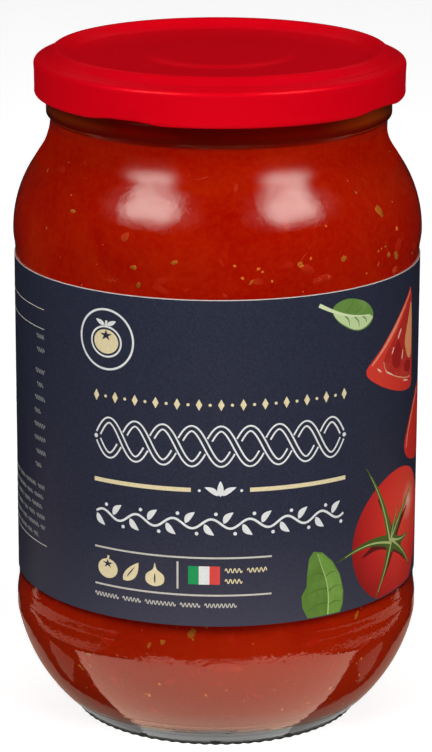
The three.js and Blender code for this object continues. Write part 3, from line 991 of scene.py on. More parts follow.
class Print:
    """Thin ink bodies of one colour and one layer, wrapped on the label."""

    def __init__(self, layer=0):
        self.top = FIRST_LAYER + LAYER_STEP * layer
        self.vertices = []
        self.faces = []

    def slab(self, points, triangles):
        """A closed body from a flat triangulation whose triangles turn anticlockwise."""
        base = len(self.vertices)
        under = base + len(points)
        self.vertices += on_label(points, self.top) + on_label(points, PRINT_ROOT)
        edges = dict.fromkeys(e for face in triangles for e in zip(face, face[1:] + face[:1]))
        for face in triangles:
            self.faces.append(tuple(base + c for c in face))
            self.faces.append(tuple(under + c for c in reversed(face)))
        for a, b in edges:
            if (b, a) not in edges:
                self.faces.append((base + b, base + a, under + a, under + b))

    def fill(self, outline, holes=(), step=PRINT_STEP):
        """A filled outline, with holes, cut fine enough to follow the label's curve."""
        loops = [resampled(loop, step) for loop in (outline, *holes)]
        points = [p for loop in loops for p in loop]
        edges, start = [], 0
        for loop in loops:
            edges += [(start + i, start + (i + 1) % len(loop)) for i in range(len(loop))]
            start += len(loop)
        low, high = np.min(loops[0], axis=0), np.max(loops[0], axis=0)
        for u in np.arange(low[0] + step / 2, high[0], step):
            for v in np.arange(low[1] + step / 2, high[1], step):
                if inside((u, v), loops) and clear_of((u, v), points[:start], step * CLEAR_SHARE):
                    points.append((u, v))
        made = geometry.delaunay_2d_cdt([Vector(p) for p in points], edges, [], 0, 1e-5)
        points = [tuple(p) for p in made[0]]
        triangles = []
        for face in made[2]:
            corners = [points[c] for c in face]
            if inside(np.mean(corners, axis=0), loops):
                (ax, ay), (bx, by), (cx, cy) = corners
                turn = (bx - ax) * (cy - ay) - (by - ay) * (cx - ax)
                triangles.append(tuple(face) if turn > 0 else tuple(reversed(face)))
        self.slab(points, triangles)

    def ribbon(self, points, widths, closed=False):
        """A stroke along points; widths is one width or one for each point."""
        points = np.array(points, float)
        widths = np.broadcast_to(np.asarray(widths, float), len(points))
        if closed:
            along = np.roll(points, -1, axis=0) - np.roll(points, 1, axis=0)
        else:
            along = np.gradient(points, axis=0)
        along /= np.maximum(np.hypot(*along.T), 1e-9)[:, None]
        across = np.stack([-along[:, 1], along[:, 0]], axis=1) * widths[:, None] / 2
        count = len(points)
        outline = [tuple(p) for p in points - across] + [tuple(p) for p in points + across]
        triangles = []
        for i in range(count if closed else count - 1):
            n = (i + 1) % count
            triangles += [(i, n, count + n), (i, count + n, count + i)]
        self.slab(outline, triangles)

    def bar(self, left, right, low, high):
        """A plain upright rectangle."""
        middle = (low + high) / 2
        steps = max(2, math.ceil((right - left) / PRINT_STEP) + 1)
        self.ribbon([(u, middle) for u in np.linspace(left, right, steps)], high - low)

    def disc(self, centre, radius, step):
        self.fill(ellipse(centre, radius, radius), step=step)

    def made(self, name, material, slot="label_cream"):
        piece = mesh_object(name, self.vertices, self.faces, [material], smooth=False)
        placed(piece, None)


def leftwards(along):
    """The direction to the left of another, one long."""
    return np.array([-along[1], along[0]]) / np.hypot(*along)


def resampled(loop, step):
    """A closed loop with no stretch longer than step."""
    points = []
    for start, stop in zip(loop, [*loop[1:], loop[0]]):
        count = max(1, math.ceil(math.dist(start, stop) / step))
        points += [tuple(np.array(start) + (np.array(stop) - start) * i / count) for i in range(count)]
    return points


def inside(point, loops):
    """Whether a point lies inside an odd number of the loops."""
    u, v = point
    within = False
    for loop in loops:
        for (au, av), (bu, bv) in zip(loop, [*loop[1:], loop[0]]):
            if (av > v) != (bv > v) and u < (bu - au) * (v - av) / (bv - av) + au:
                within = not within
    return within


def clear_of(point, others, distance):
    """Whether no other point lies in a square of twice the distance about a point."""
    return all(abs(point[0] - u) > distance or abs(point[1] - v) > distance for u, v in others)


def ellipse(centre, across, up, turn=0.0, steps=48):
    """Outline of an ellipse, turned anticlockwise by an angle."""
    points = []
    for i in range(steps):
        angle = 2 * math.pi * i / steps
        s, t = across * math.cos(angle), up * math.sin(angle)
        points.append((centre[0] + s * math.cos(turn) - t * math.sin(turn),
                       centre[1] + s * math.sin(turn) + t * math.cos(turn)))
    return points


def pointed_leaf(foot, tip, width, bend=0.0, steps=10):
    """Outline of a leaf from its foot to its tip; bend moves its middle to the left of that line."""
    foot, tip = np.array(foot, float), np.array(tip, float)
    along = tip - foot
    left = leftwards(along)
    sides = []
    for side in (-1, 1):
        points = []
        for t in np.linspace(0, 1, steps + 1):
            belly = side * width / 2 * math.sin(math.pi * t ** 0.8) ** 0.85
            points.append(tuple(foot + along * t + left * (bend * math.sin(math.pi * t) + belly)))
        sides.append(points)
    return sides[0] + sides[1][-2:0:-1]


def closed_spline(knots, steps=4):
    """A smooth closed outline through the knots."""
    count = len(knots)
    wrapped = [knots[(i - 1) % count] for i in range(count + 3)]
    return spline(wrapped, steps)[steps:-steps - 1]


# Steps of large, small and tiny printed shapes
COARSE_STEP = 1.2
FINE_STEP = 0.5
DOT_STEP = 0.3


# Layout of the front of the label
LEFT_MARGIN = -25.4
RIGHT_MARGIN = 27.1
RULE_RIGHT = 10.9
BADGE_CENTRE = (-22.5, 86.3)
BADGE_RADIUS = 5.95
BADGE_LINE = 0.42
BADGE_FRUIT_DROP = 0.45
BADGE_FRUIT_SIZE = (2.75, 2.4)
BADGE_OUTLINE_SIZE = (3.35, 3.0)
BADGE_OUTLINE_LINE = 0.36
BADGE_STALK_LINE = 0.5
BADGE_SEPAL_WIDTH = 0.9
LOZENGE_ROW = 74.9
LOZENGE_COUNT = 13
LOZENGE_INSET = 0.6
LOZENGE_HALF_WIDTH = 0.62
LOZENGE_HALF_HEIGHT = 1.15
LOZENGE_STEP = 0.6
LOZENGE_DOT = 0.3
BRAID_MIDDLE = 66.6
BRAID_HALF_HEIGHT = 3.55
BRAID_LOOPS = 9
BRAID_LINE = 0.34
BRAID_SPREAD = 0.52
BRAID_INSET = 0.7
BRAID_GAP = 0.32
BRAID_STEP = 0.16
BRAID_DOT = 0.42
BRAID_DOT_STEP = 0.4
BRAID_DOT_OUT = 0.25
BAR_ROW = 57.75
BAR_HEIGHT = 0.85
BAR_GAP = (-5.0, 6.5)
# Sprig in the gap, about its middle: foot, tip and width of its leaves, and its two dots
SPRIG_UPRIGHT = ((0, -1.3), (0, 1.9), 1.25)
SPRIG_SIDE = ((0.35, -1.1), (3.1, 0.6), 1.1)
SPRIG_BEND = 0.25
SPRIG_DOT_PLACE = (4.1, -0.1)
SPRIG_DOT = 0.28
VINE_ROW = 50.9
VINE_SWING = 0.95
VINE_LEAVES = 14
VINE_LINE = 0.46
VINE_INSET = 0.4
VINE_STEPS = 140
# In each bend of the vine, from its middle: foot, tip, width and bend of the leaf, and the berry
VINE_LEAF = ((-1.35, -0.1), (0.55, -2.35), 1.25)
VINE_BEND = -0.3
BERRY_PLACE = (0.9, 2.0)
BERRY = 0.36
RULE_ROWS = (43.9, 36.2)
RULE_HEIGHT = 0.36
DIVIDER = (-7.8, -7.42, 37.4, 43.0)
SMALL_FRUIT = (-22.4, 39.7)
SMALL_FRUIT_SIZE = (2.25, 2.0)
# Rows of a fine wave: ends, height on the label, height of the wave, and seed
CREAM_WAVES = ((1.7, 9.9, 41.3, 1.35, 3), (1.7, 7.6, 39.1, 1.35, 4))
PALE_WAVES = ((LEFT_MARGIN, 5.6, 34.1, 1.25, 5),)
FLAG_LEFT = -5.5
STRIPE_WIDTH = 2.07
FLAG_HEIGHTS = (38.45, 42.2)


def badge(cream, white):
    """A ring round a small outlined tomato with a stalk and two sepals."""
    white.ribbon(ellipse(BADGE_CENTRE, BADGE_RADIUS, BADGE_RADIUS, steps=96), BADGE_LINE, closed=True)
    u, v = BADGE_CENTRE[0], BADGE_CENTRE[1] - BADGE_FRUIT_DROP
    white.ribbon(ellipse((u, v), *BADGE_OUTLINE_SIZE), BADGE_OUTLINE_LINE, closed=True)
    calyx = calyx_outline((u, v + 1.25), 1.5, 0.55)
    cream.fill(ellipse((u, v), *BADGE_FRUIT_SIZE), [calyx], FINE_STEP)
    stalk = [(u + 0.15 * t * t, v + 2.9 + 1.3 * t) for t in np.linspace(0, 1, 5)]
    white.ribbon(stalk, BADGE_STALK_LINE)
    for side in (-1, 1):
        foot, tip = (u + side * 0.3, v + 3.3), (u + side * 2.3, v + 4.3)
        white.fill(pointed_leaf(foot, tip, BADGE_SEPAL_WIDTH), step=FINE_STEP)


def calyx_outline(centre, reach, waist, arms=5):
    """A star of narrow sepals."""
    points = []
    for i in range(2 * arms):
        angle = math.pi / 2 + math.pi * i / arms
        radius = reach if i % 2 == 0 else waist
        points.append((centre[0] + radius * math.cos(angle), centre[1] + 0.8 * radius * math.sin(angle)))
    return points


def lozenge_row(cream):
    """Small upright lozenges with a dot between each two."""
    pitch = (RIGHT_MARGIN - LEFT_MARGIN - 2 * LOZENGE_INSET) / (LOZENGE_COUNT - 1)
    for i in range(LOZENGE_COUNT):
        u = LEFT_MARGIN + LOZENGE_INSET + i * pitch
        cream.fill([(u - LOZENGE_HALF_WIDTH, LOZENGE_ROW), (u, LOZENGE_ROW - LOZENGE_HALF_HEIGHT),
                    (u + LOZENGE_HALF_WIDTH, LOZENGE_ROW), (u, LOZENGE_ROW + LOZENGE_HALF_HEIGHT)],
                   step=LOZENGE_STEP)
        if i < LOZENGE_COUNT - 1:
            cream.disc((u + pitch / 2, LOZENGE_ROW), LOZENGE_DOT, DOT_STEP)


def braid(white):
    """Two interlaced waves, each drawn as a pair of lines, that pass over and under each other."""
    start = LEFT_MARGIN + BRAID_INSET
    loop = (RIGHT_MARGIN - LEFT_MARGIN - 2 * BRAID_INSET) / BRAID_LOOPS
    stop = start + BRAID_LOOPS * loop
    slope = BRAID_HALF_HEIGHT * math.pi / loop
    crossing = 2 * math.atan(slope)
    gap = (BRAID_SPREAD + BRAID_LINE + BRAID_GAP) / math.sin(crossing) / math.hypot(1, slope)
    for strand, sign in ((0, 1), (1, -1)):
        cuts = [start + k * loop for k in range(1, BRAID_LOOPS) if k % 2 == strand]
        ends = [start + BRAID_GAP, *[c + s * gap for c in cuts for s in (-1, 1)], stop - BRAID_GAP]
        for left, right in zip(ends[::2], ends[1::2]):
            us = np.linspace(left, right, max(4, round((right - left) / BRAID_STEP)) + 1)
            waves = sign * BRAID_HALF_HEIGHT * np.sin(math.pi * (us - start) / loop)
            slopes = sign * slope * np.cos(math.pi * (us - start) / loop)
            lengths = np.hypot(1, slopes)
            for offset in (-BRAID_SPREAD, BRAID_SPREAD):
                points = [us - offset * slopes / lengths, BRAID_MIDDLE + waves + offset / lengths]
                white.ribbon(np.stack(points, axis=1), BRAID_LINE)
    for u in (start - BRAID_DOT_OUT, stop + BRAID_DOT_OUT):
        white.disc((u, BRAID_MIDDLE), BRAID_DOT, BRAID_DOT_STEP)


def aside(point, offset, across=1, up=1):
    """A point moved by an offset, which may be mirrored."""
    return (point[0] + across * offset[0], point[1] + up * offset[1])


def bars_and_sprig(cream, white):
    """Two long bars with a three-leaved sprig between them."""
    low, high = BAR_ROW - BAR_HEIGHT / 2, BAR_ROW + BAR_HEIGHT / 2
    cream.bar(LEFT_MARGIN, BAR_GAP[0], low, high)
    cream.bar(BAR_GAP[1], RIGHT_MARGIN, low, high)
    middle = (sum(BAR_GAP) / 2, BAR_ROW)
    foot, tip, width = SPRIG_UPRIGHT
    white.fill(pointed_leaf(aside(middle, foot), aside(middle, tip), width), step=FINE_STEP)
    foot, tip, width = SPRIG_SIDE
    for side in (-1, 1):
        leaf = (aside(middle, foot, side), aside(middle, tip, side), width, side * SPRIG_BEND)
        white.fill(pointed_leaf(*leaf), step=FINE_STEP)
        white.disc(aside(middle, SPRIG_DOT_PLACE, side), SPRIG_DOT, DOT_STEP)


def vine(white):
    """A waving stem with a broad leaf in each bend."""
    pitch = (RIGHT_MARGIN - LEFT_MARGIN) / VINE_LEAVES
    us = np.linspace(LEFT_MARGIN + VINE_INSET, RIGHT_MARGIN - VINE_INSET, VINE_STEPS)
    stem = [(u, VINE_ROW + VINE_SWING * math.sin(math.pi * (u - LEFT_MARGIN) / pitch)) for u in us]
    white.ribbon(stem, VINE_LINE)
    foot, tip, width = VINE_LEAF
    for i in range(VINE_LEAVES):
        bend = (LEFT_MARGIN + (i + 0.5) * pitch, VINE_ROW)
        up = 1 if i % 2 == 0 else -1
        leaf = (aside(bend, foot, up=up), aside(bend, tip, up=up), width, up * VINE_BEND)
        white.fill(pointed_leaf(*leaf), step=FINE_STEP)
        white.disc(aside(bend, BERRY_PLACE, up=up), BERRY, DOT_STEP)


CLOVE_OUTLINE = [(-12.2, 42.3), (-11.8, 41.0), (-10.4, 39.8), (-10.5, 38.2), (-12.2, 37.5),
                 (-13.9, 38.2), (-14.0, 39.8), (-12.6, 41.0)]


def small_panel(cream, pale):
    """Rules, a small tomato, leaf and clove, a divider, and rows of a fine wave."""
    for row in RULE_ROWS:
        pale.bar(LEFT_MARGIN, RULE_RIGHT, row - RULE_HEIGHT / 2, row + RULE_HEIGHT / 2)
    pale.bar(*DIVIDER)
    u, v = SMALL_FRUIT
    calyx = calyx_outline((u, v + 1.0), 1.3, 0.45)
    cream.fill(ellipse(SMALL_FRUIT, *SMALL_FRUIT_SIZE), [calyx], FINE_STEP)
    cream.ribbon([(u, v + 1.9), (u + 0.2, v + 2.7)], 0.45)
    vein = pointed_leaf((-18.2, 38.6), (-16.3, 41.1), 0.28, steps=6)
    cream.fill(pointed_leaf((-18.9, 37.9), (-15.6, 41.9), 2.3, bend=-0.3), [vein], FINE_STEP)
    cream.fill(closed_spline(CLOVE_OUTLINE, 6), [ellipse((-12.2, 39.1), 0.16, 1.0)], FINE_STEP)
    for ink, rows in ((cream, CREAM_WAVES), (pale, PALE_WAVES)):
        for *place, seed in rows:
            wavy_line(ink, *place, random.Random(seed))


def wavy_line(ink, left, right, row, height, draw):
    """Short stretches of a fine wave with gaps between them, where the photo has small print."""
    wave = 0.62 * height
    u = left
    while u < right - 2 * wave:
        reach = min(draw.randint(3, 8) * wave, right - u)
        ts = np.linspace(0, reach, max(6, round(6 * reach / wave)) + 1)
        ink.ribbon([(u + t, row + 0.36 * height * math.sin(2 * math.pi * t / wave)) for t in ts],
                   0.15 * height)
        u += reach + 0.75 * height


def tricolour(*inks):
    """Upright stripes side by side."""
    for i, ink in enumerate(inks):
        ink.bar(FLAG_LEFT + i * STRIPE_WIDTH, FLAG_LEFT + (i + 1) * STRIPE_WIDTH, *FLAG_HEIGHTS)


# Inks: name, display colour and slot
INKS = (
    ("cream", (243, 226, 180), "label_cream"),
    ("white", (240, 240, 238), "label_cream"),
    ("pale", (214, 208, 196), "label_cream"),
    ("grey", (150, 150, 148), "label_cream"),
    ("green", (20, 158, 88), "label_paper"),
    ("red", (228, 72, 66), "label_paper"),
)


def make_print():
    """All the printing on the label."""
    prints = [Print() for _ in INKS]
    cream, white, pale, grey, green, red = prints
    badge(cream, white)
    lozenge_row(cream)
    braid(white)
    bars_and_sprig(cream, white)
    vine(white)
    small_panel(cream, pale)
    tricolour(green, white, red)
    table_panel(grey, pale)
    for drawn, (name, tint, slot) in zip(prints, INKS):
        drawn.made("print_" + name, ink_material(name + "_ink", colour(*tint)), slot)
    make_pictures()


# Back of the label: rows of waves between rules, blocks of waves, and upright bars on a pale field

TABLE_RIGHT = -40.0
TABLE_LEFT = -84.0
TABLE_ROWS = (83.2, 80.4, 76.0, 73.2, 70.4, 67.6, 64.8, 62.0, 59.2, 56.4)
TABLE_RULES = (88.9, 84.9, 39.99)
TABLE_RULE_HEIGHT = 0.18
WAVE_HEIGHT = 1.2
# Blocks of waves: ends, how ragged they are at the right, top row, pitch and number of rows
LEFT_BLOCK = (-124.0, -90.0, 3, 88.0, 2.2, 16)
RIGHT_BLOCK = (84.0, 118.0, 5, 86.0, 2.3, 20)
CODE_FIELD = (-121.0, -93.0, 33.5, 49.5)
CODE_ENDS = (-118.5, -95.8)
CODE_HEIGHTS = (35.5, 47.5)
CODE_WIDTHS = (0.33, 0.33, 0.66, 0.99)
CODE_GAPS = (0.33, 0.66, 0.66)


def wavy_block(ink, draw, left, right, ragged, top, pitch, count):
    """Rows of a fine wave, each up to ragged shorter at its right."""
    for i in range(count):
        wavy_line(ink, left, right - draw.uniform(0, ragged), top - pitch * i, WAVE_HEIGHT, draw)


def table_panel(grey, pale):
    """Rows of waves between rules, a block of waves to each side, and upright bars on a pale field."""
    draw = random.Random(8)
    for row in TABLE_RULES:
        pale.bar(TABLE_LEFT, TABLE_RIGHT, row - TABLE_RULE_HEIGHT / 2, row + TABLE_RULE_HEIGHT / 2)
    for row in TABLE_ROWS:
        wavy_line(grey, TABLE_RIGHT - draw.uniform(2.6, 4.6), TABLE_RIGHT, row, 1.3, draw)
        wavy_line(grey, TABLE_LEFT, TABLE_LEFT + draw.uniform(12, 26), row, WAVE_HEIGHT, draw)
    for i in range(6):
        right = TABLE_RIGHT - (3.4 if i == 5 else 0.6)
        wavy_line(grey, TABLE_LEFT, right, 52.0 - 2.1 * i, WAVE_HEIGHT, draw)
    wavy_block(grey, draw, *LEFT_BLOCK)
    field = Print()
    field.bar(*CODE_FIELD)
    field.made("code_panel", ink_material("panel_ink", colour(238, 238, 236)))
    bars = Print(1)
    u = CODE_ENDS[0]
    while u < CODE_ENDS[1]:
        width = draw.choice(CODE_WIDTHS)
        bars.bar(u, u + width, *CODE_HEIGHTS)
        u += width + draw.choice(CODE_GAPS)
    bars.made("code_bars", ink_material("bar_ink", colour(24, 26, 34)), "label_paper")
    wavy_block(grey, draw, *RIGHT_BLOCK)


# Pictures on the right of the label: two tomato wedges, a tomato and two leaves

WEDGE_OUTLINE = [(49.8, 91.2), (48.0, 90.4), (44.4, 87.8), (40.4, 84.6), (36.6, 81.6), (33.2, 79.2),
                 (32.4, 78.0), (33.2, 76.6), (36.4, 74.6), (40.4, 72.8), (45.0, 71.4), (48.8, 70.8),
                 (50.9, 71.4), (51.2, 74.0), (50.9, 82.0)]
SLICE_OUTLINE = [(57.2, 69.8), (53.0, 67.0), (49.4, 63.0), (47.5, 59.8), (48.4, 57.2), (51.6, 55.4),
                 (57.0, 54.4), (63.0, 55.8), (66.0, 60.0), (64.4, 66.0), (61.0, 69.2)]
TOMATO_CENTRE = (44.2, 41.8)
TOMATO_SIZE = (15.0, 13.6)
CALYX_CENTRE = (41.7, 40.9)
TOP_LEAF_OUTLINE = [(23.4, 91.9), (24.4, 93.2), (27.0, 93.8), (30.0, 93.2), (32.6, 91.9), (34.1, 89.9),
                    (33.6, 88.0), (31.4, 87.0), (28.8, 87.2), (26.2, 88.5), (24.3, 90.1)]
LOW_LEAF_OUTLINE = [(19.8, 43.7), (21.8, 43.2), (24.2, 41.0), (26.0, 38.0), (27.0, 34.4), (26.9, 31.6),
                    (26.2, 30.0), (18.6, 30.0), (17.4, 32.4), (17.2, 34.8), (18.3, 36.6), (18.4, 39.4),
                    (18.8, 42.4)]
WEDGE_FLESH = [(49.6, 90.0), (45.4, 86.4), (40.8, 82.4), (37.6, 79.2), (38.6, 76.8), (42.4, 74.8),
               (47.0, 73.4), (50.4, 73.0), (50.4, 82.0)]
WEDGE_SHADOWS = ([(43.4, 82.2), (41.0, 79.4), (41.6, 77.2), (44.0, 76.6), (44.8, 79.4)],
                 [(47.0, 77.0), (46.6, 75.2), (49.4, 74.4), (49.8, 76.4)])
WEDGE_CORE = [(49.9, 88.6), (48.4, 85.6), (46.6, 81.4), (47.6, 78.6), (49.0, 77.2), (50.4, 78.0),
              (50.5, 84.0)]
WEDGE_EDGE = [(49.4, 90.9), (44.6, 87.2), (39.0, 82.7), (34.0, 79.0)]
WEDGE_INNER_EDGE = [(37.8, 79.0), (38.8, 76.9), (42.6, 75.0), (47.0, 73.6), (50.0, 73.2)]
SLICE_EDGE = [(56.6, 69.2), (52.8, 65.8), (49.6, 61.8), (48.6, 58.6)]
# Glints on the wedge: centre, half length and half width, and turn
WEDGE_GLOSS = (((43.9, 83.4), (1.2, 0.28), 0.9), ((41.2, 80.6), (0.8, 0.22), 1.0),
               ((45.4, 78.8), (1.0, 0.22), 1.3), ((40.0, 76.2), (1.5, 0.2), -0.45),
               ((36.4, 77.6), (0.9, 0.2), -0.6), ((47.4, 73.0), (1.4, 0.18), -0.2))
# The calyx's arms: where each ends, how far it bends and how wide it is at its foot
SEPALS = (((32.9, 58.2), -0.9, 2.6), ((25.4, 40.4), -1.7, 2.9), ((36.4, 30.2), 0.4, 2.4),
          ((53.4, 50.4), 0.9, 2.3), ((44.6, 47.8), 0.2, 1.9), ((50.5, 40.2), -0.6, 3.4),
          ((52.4, 32.4), 0.5, 2.6))
TOP_LEAF_LOWER = [(23.8, 91.5), (27.2, 90.7), (30.6, 89.9), (33.8, 89.3), (33.3, 88.2), (31.2, 87.2),
                  (28.8, 87.4), (26.3, 88.7), (24.5, 90.1)]
TOP_LEAF_FOLDS = (((26.4, 90.6), (27.6, 88.3)), ((28.8, 90.1), (30.2, 87.7)),
                  ((31.0, 89.7), (32.2, 88.2)), ((26.8, 91.2), (28.4, 93.2)),
                  ((29.4, 90.7), (31.0, 92.2)))
LOW_LEAF_RIB = [(20.6, 43.1), (21.6, 40.4), (22.8, 37.0), (23.3, 33.6), (23.2, 30.1)]
LOW_LEAF_RIGHT_EDGE = [(26.0, 30.1), (26.7, 31.8), (26.8, 34.4), (25.8, 37.8), (24.0, 40.8), (21.9, 43.0)]
LOW_LEAF_CREASES = (((22.2, 38.6), (19.0, 38.6)), ((23.0, 35.6), (18.2, 34.6)),
                    ((23.2, 32.6), (18.4, 31.4)), ((22.4, 38.0), (25.2, 38.6)),
                    ((23.2, 34.8), (26.4, 35.6)), ((23.3, 32.0), (26.4, 32.2)))

# Tones of the pictures: tints one after another, the direction in which they follow each other (round
# the label at an angle in degrees, and up), where they begin and end along it, and the grain
TONES = {
    "wedge_skin": ([(226, 62, 46), (216, 42, 34), (150, 20, 22)], (60, -0.6), -45, 14, 0.25),
    "wedge_gel": ([(192, 44, 36), (226, 84, 62), (208, 60, 48), (240, 128, 94)], (50, 0.5), 60, 84, 0.5),
    "wedge_rim": ([(244, 146, 112), (234, 108, 84)], (55, 0), 26, 42, 0.25),
    "wedge_core": ([(236, 156, 104), (246, 214, 160)], (55, 0), 30, 40, 0.5),
    "wedge_gloss": ([(246, 196, 168), (250, 222, 200)], (55, 0), 26, 42, 0.25),
    "wedge_dark": ([(164, 28, 26), (186, 44, 34)], (55, 0), 26, 42, 0.25),
    "calyx_shadow": ([(92, 12, 14), (120, 18, 18)], (55, 0), 20, 40, 0.25),
    "calyx_green": ([(62, 88, 30), (98, 128, 50)], (60, 0.7), 10, 70, 0.5),
    "calyx_ridge": ([(184, 196, 122), (132, 156, 78)], (55, 0), 10, 40, 0.4),
    "leaf_dark": ([(104, 144, 66), (164, 196, 116), (122, 162, 80)], (30, 0.3), 44, 60, 0.5),
    "leaf_pale": ([(202, 222, 164), (150, 184, 104)], (30, 0.1), 22, 34, 0.5),
    "leaf_vein": ([(222, 234, 186), (206, 222, 160)], (30, 0), 10, 40, 0.25),
    "leaf_fold": ([(96, 134, 58), (116, 152, 74)], (30, 0), 10, 40, 0.25),
    "leaf_green": ([(88, 128, 48), (142, 180, 88), (104, 146, 58)], (20, 0.5), 26, 46, 0.5),
    "leaf_light": ([(110, 154, 62), (166, 200, 112), (128, 168, 78)], (26, 0.7), 34, 58, 0.5),
    "leaf_crease": ([(78, 112, 40), (98, 136, 54)], (25, 0), 10, 40, 0.25),
    "low_leaf_vein": ([(176, 204, 128), (158, 192, 108)], (25, 0), 10, 40, 0.25),
}
PICTURE_SHINE = 0.35
# The tomato's tones outwards from its lit side: share of the reach, and display colour
TOMATO_TONES = ((0.0, (252, 196, 180)), (0.07, (246, 130, 108)), (0.17, (236, 70, 52)),
                (0.45, (222, 48, 38)), (0.72, (186, 30, 28)), (1.0, (104, 12, 15)))
TOMATO_LIT_SIDE = (50.6, 47.2)
TOMATO_REACH = 26


def print_grain(tree):
    """The uneven grain of a printed picture."""
    return noise(tree, 260, detail=4, roughness=0.65)


def vector_value(tree, operation, vector):
    """The object's own point measured against a vector."""
    point = source(tree, "TexCoord", "Object")
    return add_node(tree, "VectorMath", {0: point, 1: vector}, operation=operation).outputs["Value"]


def picture_material(name, tints, direction, start, stop, grain):
    """A printed picture's tone: it runs from one tint to the next along a direction of the label.
    start and stop are where it begins and ends, in millimetres along that direction."""
    material, tree, shader = new_material(name)
    angle = math.radians(direction[0])
    along = Vector((math.cos(angle), math.sin(angle), direction[1])).normalized()
    place = between(tree, vector_value(tree, "DOT_PRODUCT", along), start * MM, stop * MM)
    shifted = add_node(tree, "Math", {0: print_grain(tree), 1: grain, 2: place}, operation="MULTIPLY_ADD")
    stops = [(grain / 2 + (1 - grain / 2) * i / (len(tints) - 1), colour(*tint))
             for i, tint in enumerate(tints)]
    plug(shader, {"Base Color": ramp(tree, shifted.outputs["Value"], stops),
                  "Roughness": INK_ROUGHNESS, "Specular IOR Level": PICTURE_SHINE})
    return material


def round_material(name, tones, centre, reach):
    """A printed picture's tone that runs outwards from a point of the label, centre in u and v.
    tones are pairs of a share of the reach, in millimetres, and a display colour."""
    material, tree, shader = new_material(name)
    middle = Vector(on_label([centre], 0)[0]) * MM
    grain = between(tree, print_grain(tree), 0, 1, -0.06, 0.06)
    place = between(tree, vector_value(tree, "DISTANCE", middle), 0, reach * MM)
    stops = [(share, colour(*tint)) for share, tint in tones]
    plug(shader, {"Base Color": ramp(tree, combined(tree, "ADD", place, grain), stops),
                  "Roughness": INK_ROUGHNESS, "Specular IOR Level": INK_SHINE})
    return material


def picture(name, layer, tone, outlines=(), strokes=(), step=PRINT_STEP):
    """One layer of a picture: strokes, each of points and widths, and filled outlines. Its material
    is made when its tone is first used."""
    ink = Print(layer)
    for points, widths in strokes:
        ink.ribbon(points, widths)
    for outline in outlines:
        ink.fill(outline, step=step)
    material = bpy.data.materials.get(tone) or picture_material(tone, *TONES[tone])
    ink.made(name, material, "label_paper")


def make_pictures():
    """Tomatoes and basil as fields of colour, each a few thin layers of ink."""
    draw_wedges()
    draw_tomato()
    draw_top_leaf()
    draw_low_leaf()


def draw_wedges():
    """A cut tomato wedge and the end of a second one."""
    picture("wedge_body", 0, "wedge_skin", [closed_spline(WEDGE_OUTLINE)], step=COARSE_STEP)
    picture("wedge_flesh", 1, "wedge_gel", [closed_spline(WEDGE_FLESH)], step=1.0)
    picture("wedge_shadows", 2, "wedge_dark", [closed_spline(knots) for knots in WEDGE_SHADOWS])
    picture("wedge_core", 2, "wedge_core", [closed_spline(WEDGE_CORE)])
    edge_widths = [*np.linspace(0.2, 0.9, 13), *np.linspace(0.9, 0.3, 12)]
    picture("wedge_rims", 2, "wedge_rim", strokes=[(spline(WEDGE_EDGE, 8), edge_widths),
                                                   (spline(WEDGE_INNER_EDGE, 6), 0.3)])
    glints = [ellipse(centre, *size, turn, 16) for centre, size, turn in WEDGE_GLOSS]
    picture("wedge_gloss", 3, "wedge_gloss", glints, step=FINE_STEP)
    picture("slice_body", 0, "wedge_skin", [closed_spline(SLICE_OUTLINE)], step=COARSE_STEP)
    picture("slice_rim", 1, "wedge_rim", strokes=[(spline(SLICE_EDGE, 8), 0.45)])


def sepal_strokes(share=1.0, width_share=1.0, shift=0.0):
    """Tapered, bent arms that meet in the middle of the calyx."""
    strokes = []
    ts = np.linspace(0, share, 18)
    for tip, bend, width in SEPALS:
        along = np.array(tip) - CALYX_CENTRE
        moves = [bend * math.sin(math.pi * t) + shift * width * (1 - t) for t in ts]
        points = [CALYX_CENTRE + along * t + leftwards(along) * m for t, m in zip(ts, moves)]
        strokes.append((points, [width * width_share * (1 - 0.93 * t ** 0.8) for t in ts]))
    return strokes


def shadow_strokes():
    """The shadow of the calyx's arms, shorter than they are and moved down to the right."""
    centre = np.array(CALYX_CENTRE) + (0.5, -0.7)
    strokes = []
    ts = np.linspace(0, 1, 14)
    for tip, bend, width in SEPALS:
        along = (np.array(tip) - CALYX_CENTRE) * 0.62
        points = [centre + along * t + leftwards(along) * bend * math.sin(math.pi * t) * 0.7 for t in ts]
        strokes.append((points, [width * 1.15 * (1 - 0.9 * t) for t in ts]))
    return strokes


def draw_tomato():
    """A whole tomato, lit from its upper right, with its calyx."""
    round_material("tomato_red", TOMATO_TONES, TOMATO_LIT_SIDE, TOMATO_REACH)
    outline = ellipse(TOMATO_CENTRE, *TOMATO_SIZE, steps=72)
    outline = [(u, max(v, LABEL_BOTTOM + 0.2)) for u, v in outline]
    picture("tomato_body", 0, "tomato_red", [outline], step=COARSE_STEP)
    picture("calyx_cast", 1, "calyx_shadow", strokes=shadow_strokes())
    picture("calyx_arms", 2, "calyx_green", [ellipse(CALYX_CENTRE, 1.9, 2.5)], sepal_strokes(), 0.7)
    picture("calyx_ridges", 3, "calyx_ridge", strokes=sepal_strokes(0.88, 0.2, 0.12))


def crease(foot, tip, lean_by, widths):
    """A short stroke that tapers to its tip, with its middle moved aside."""
    middle = ((foot[0] + tip[0]) / 2 + lean_by[0], (foot[1] + tip[1]) / 2 + lean_by[1])
    return spline([foot, middle, tip], 5), np.linspace(*widths, 11)


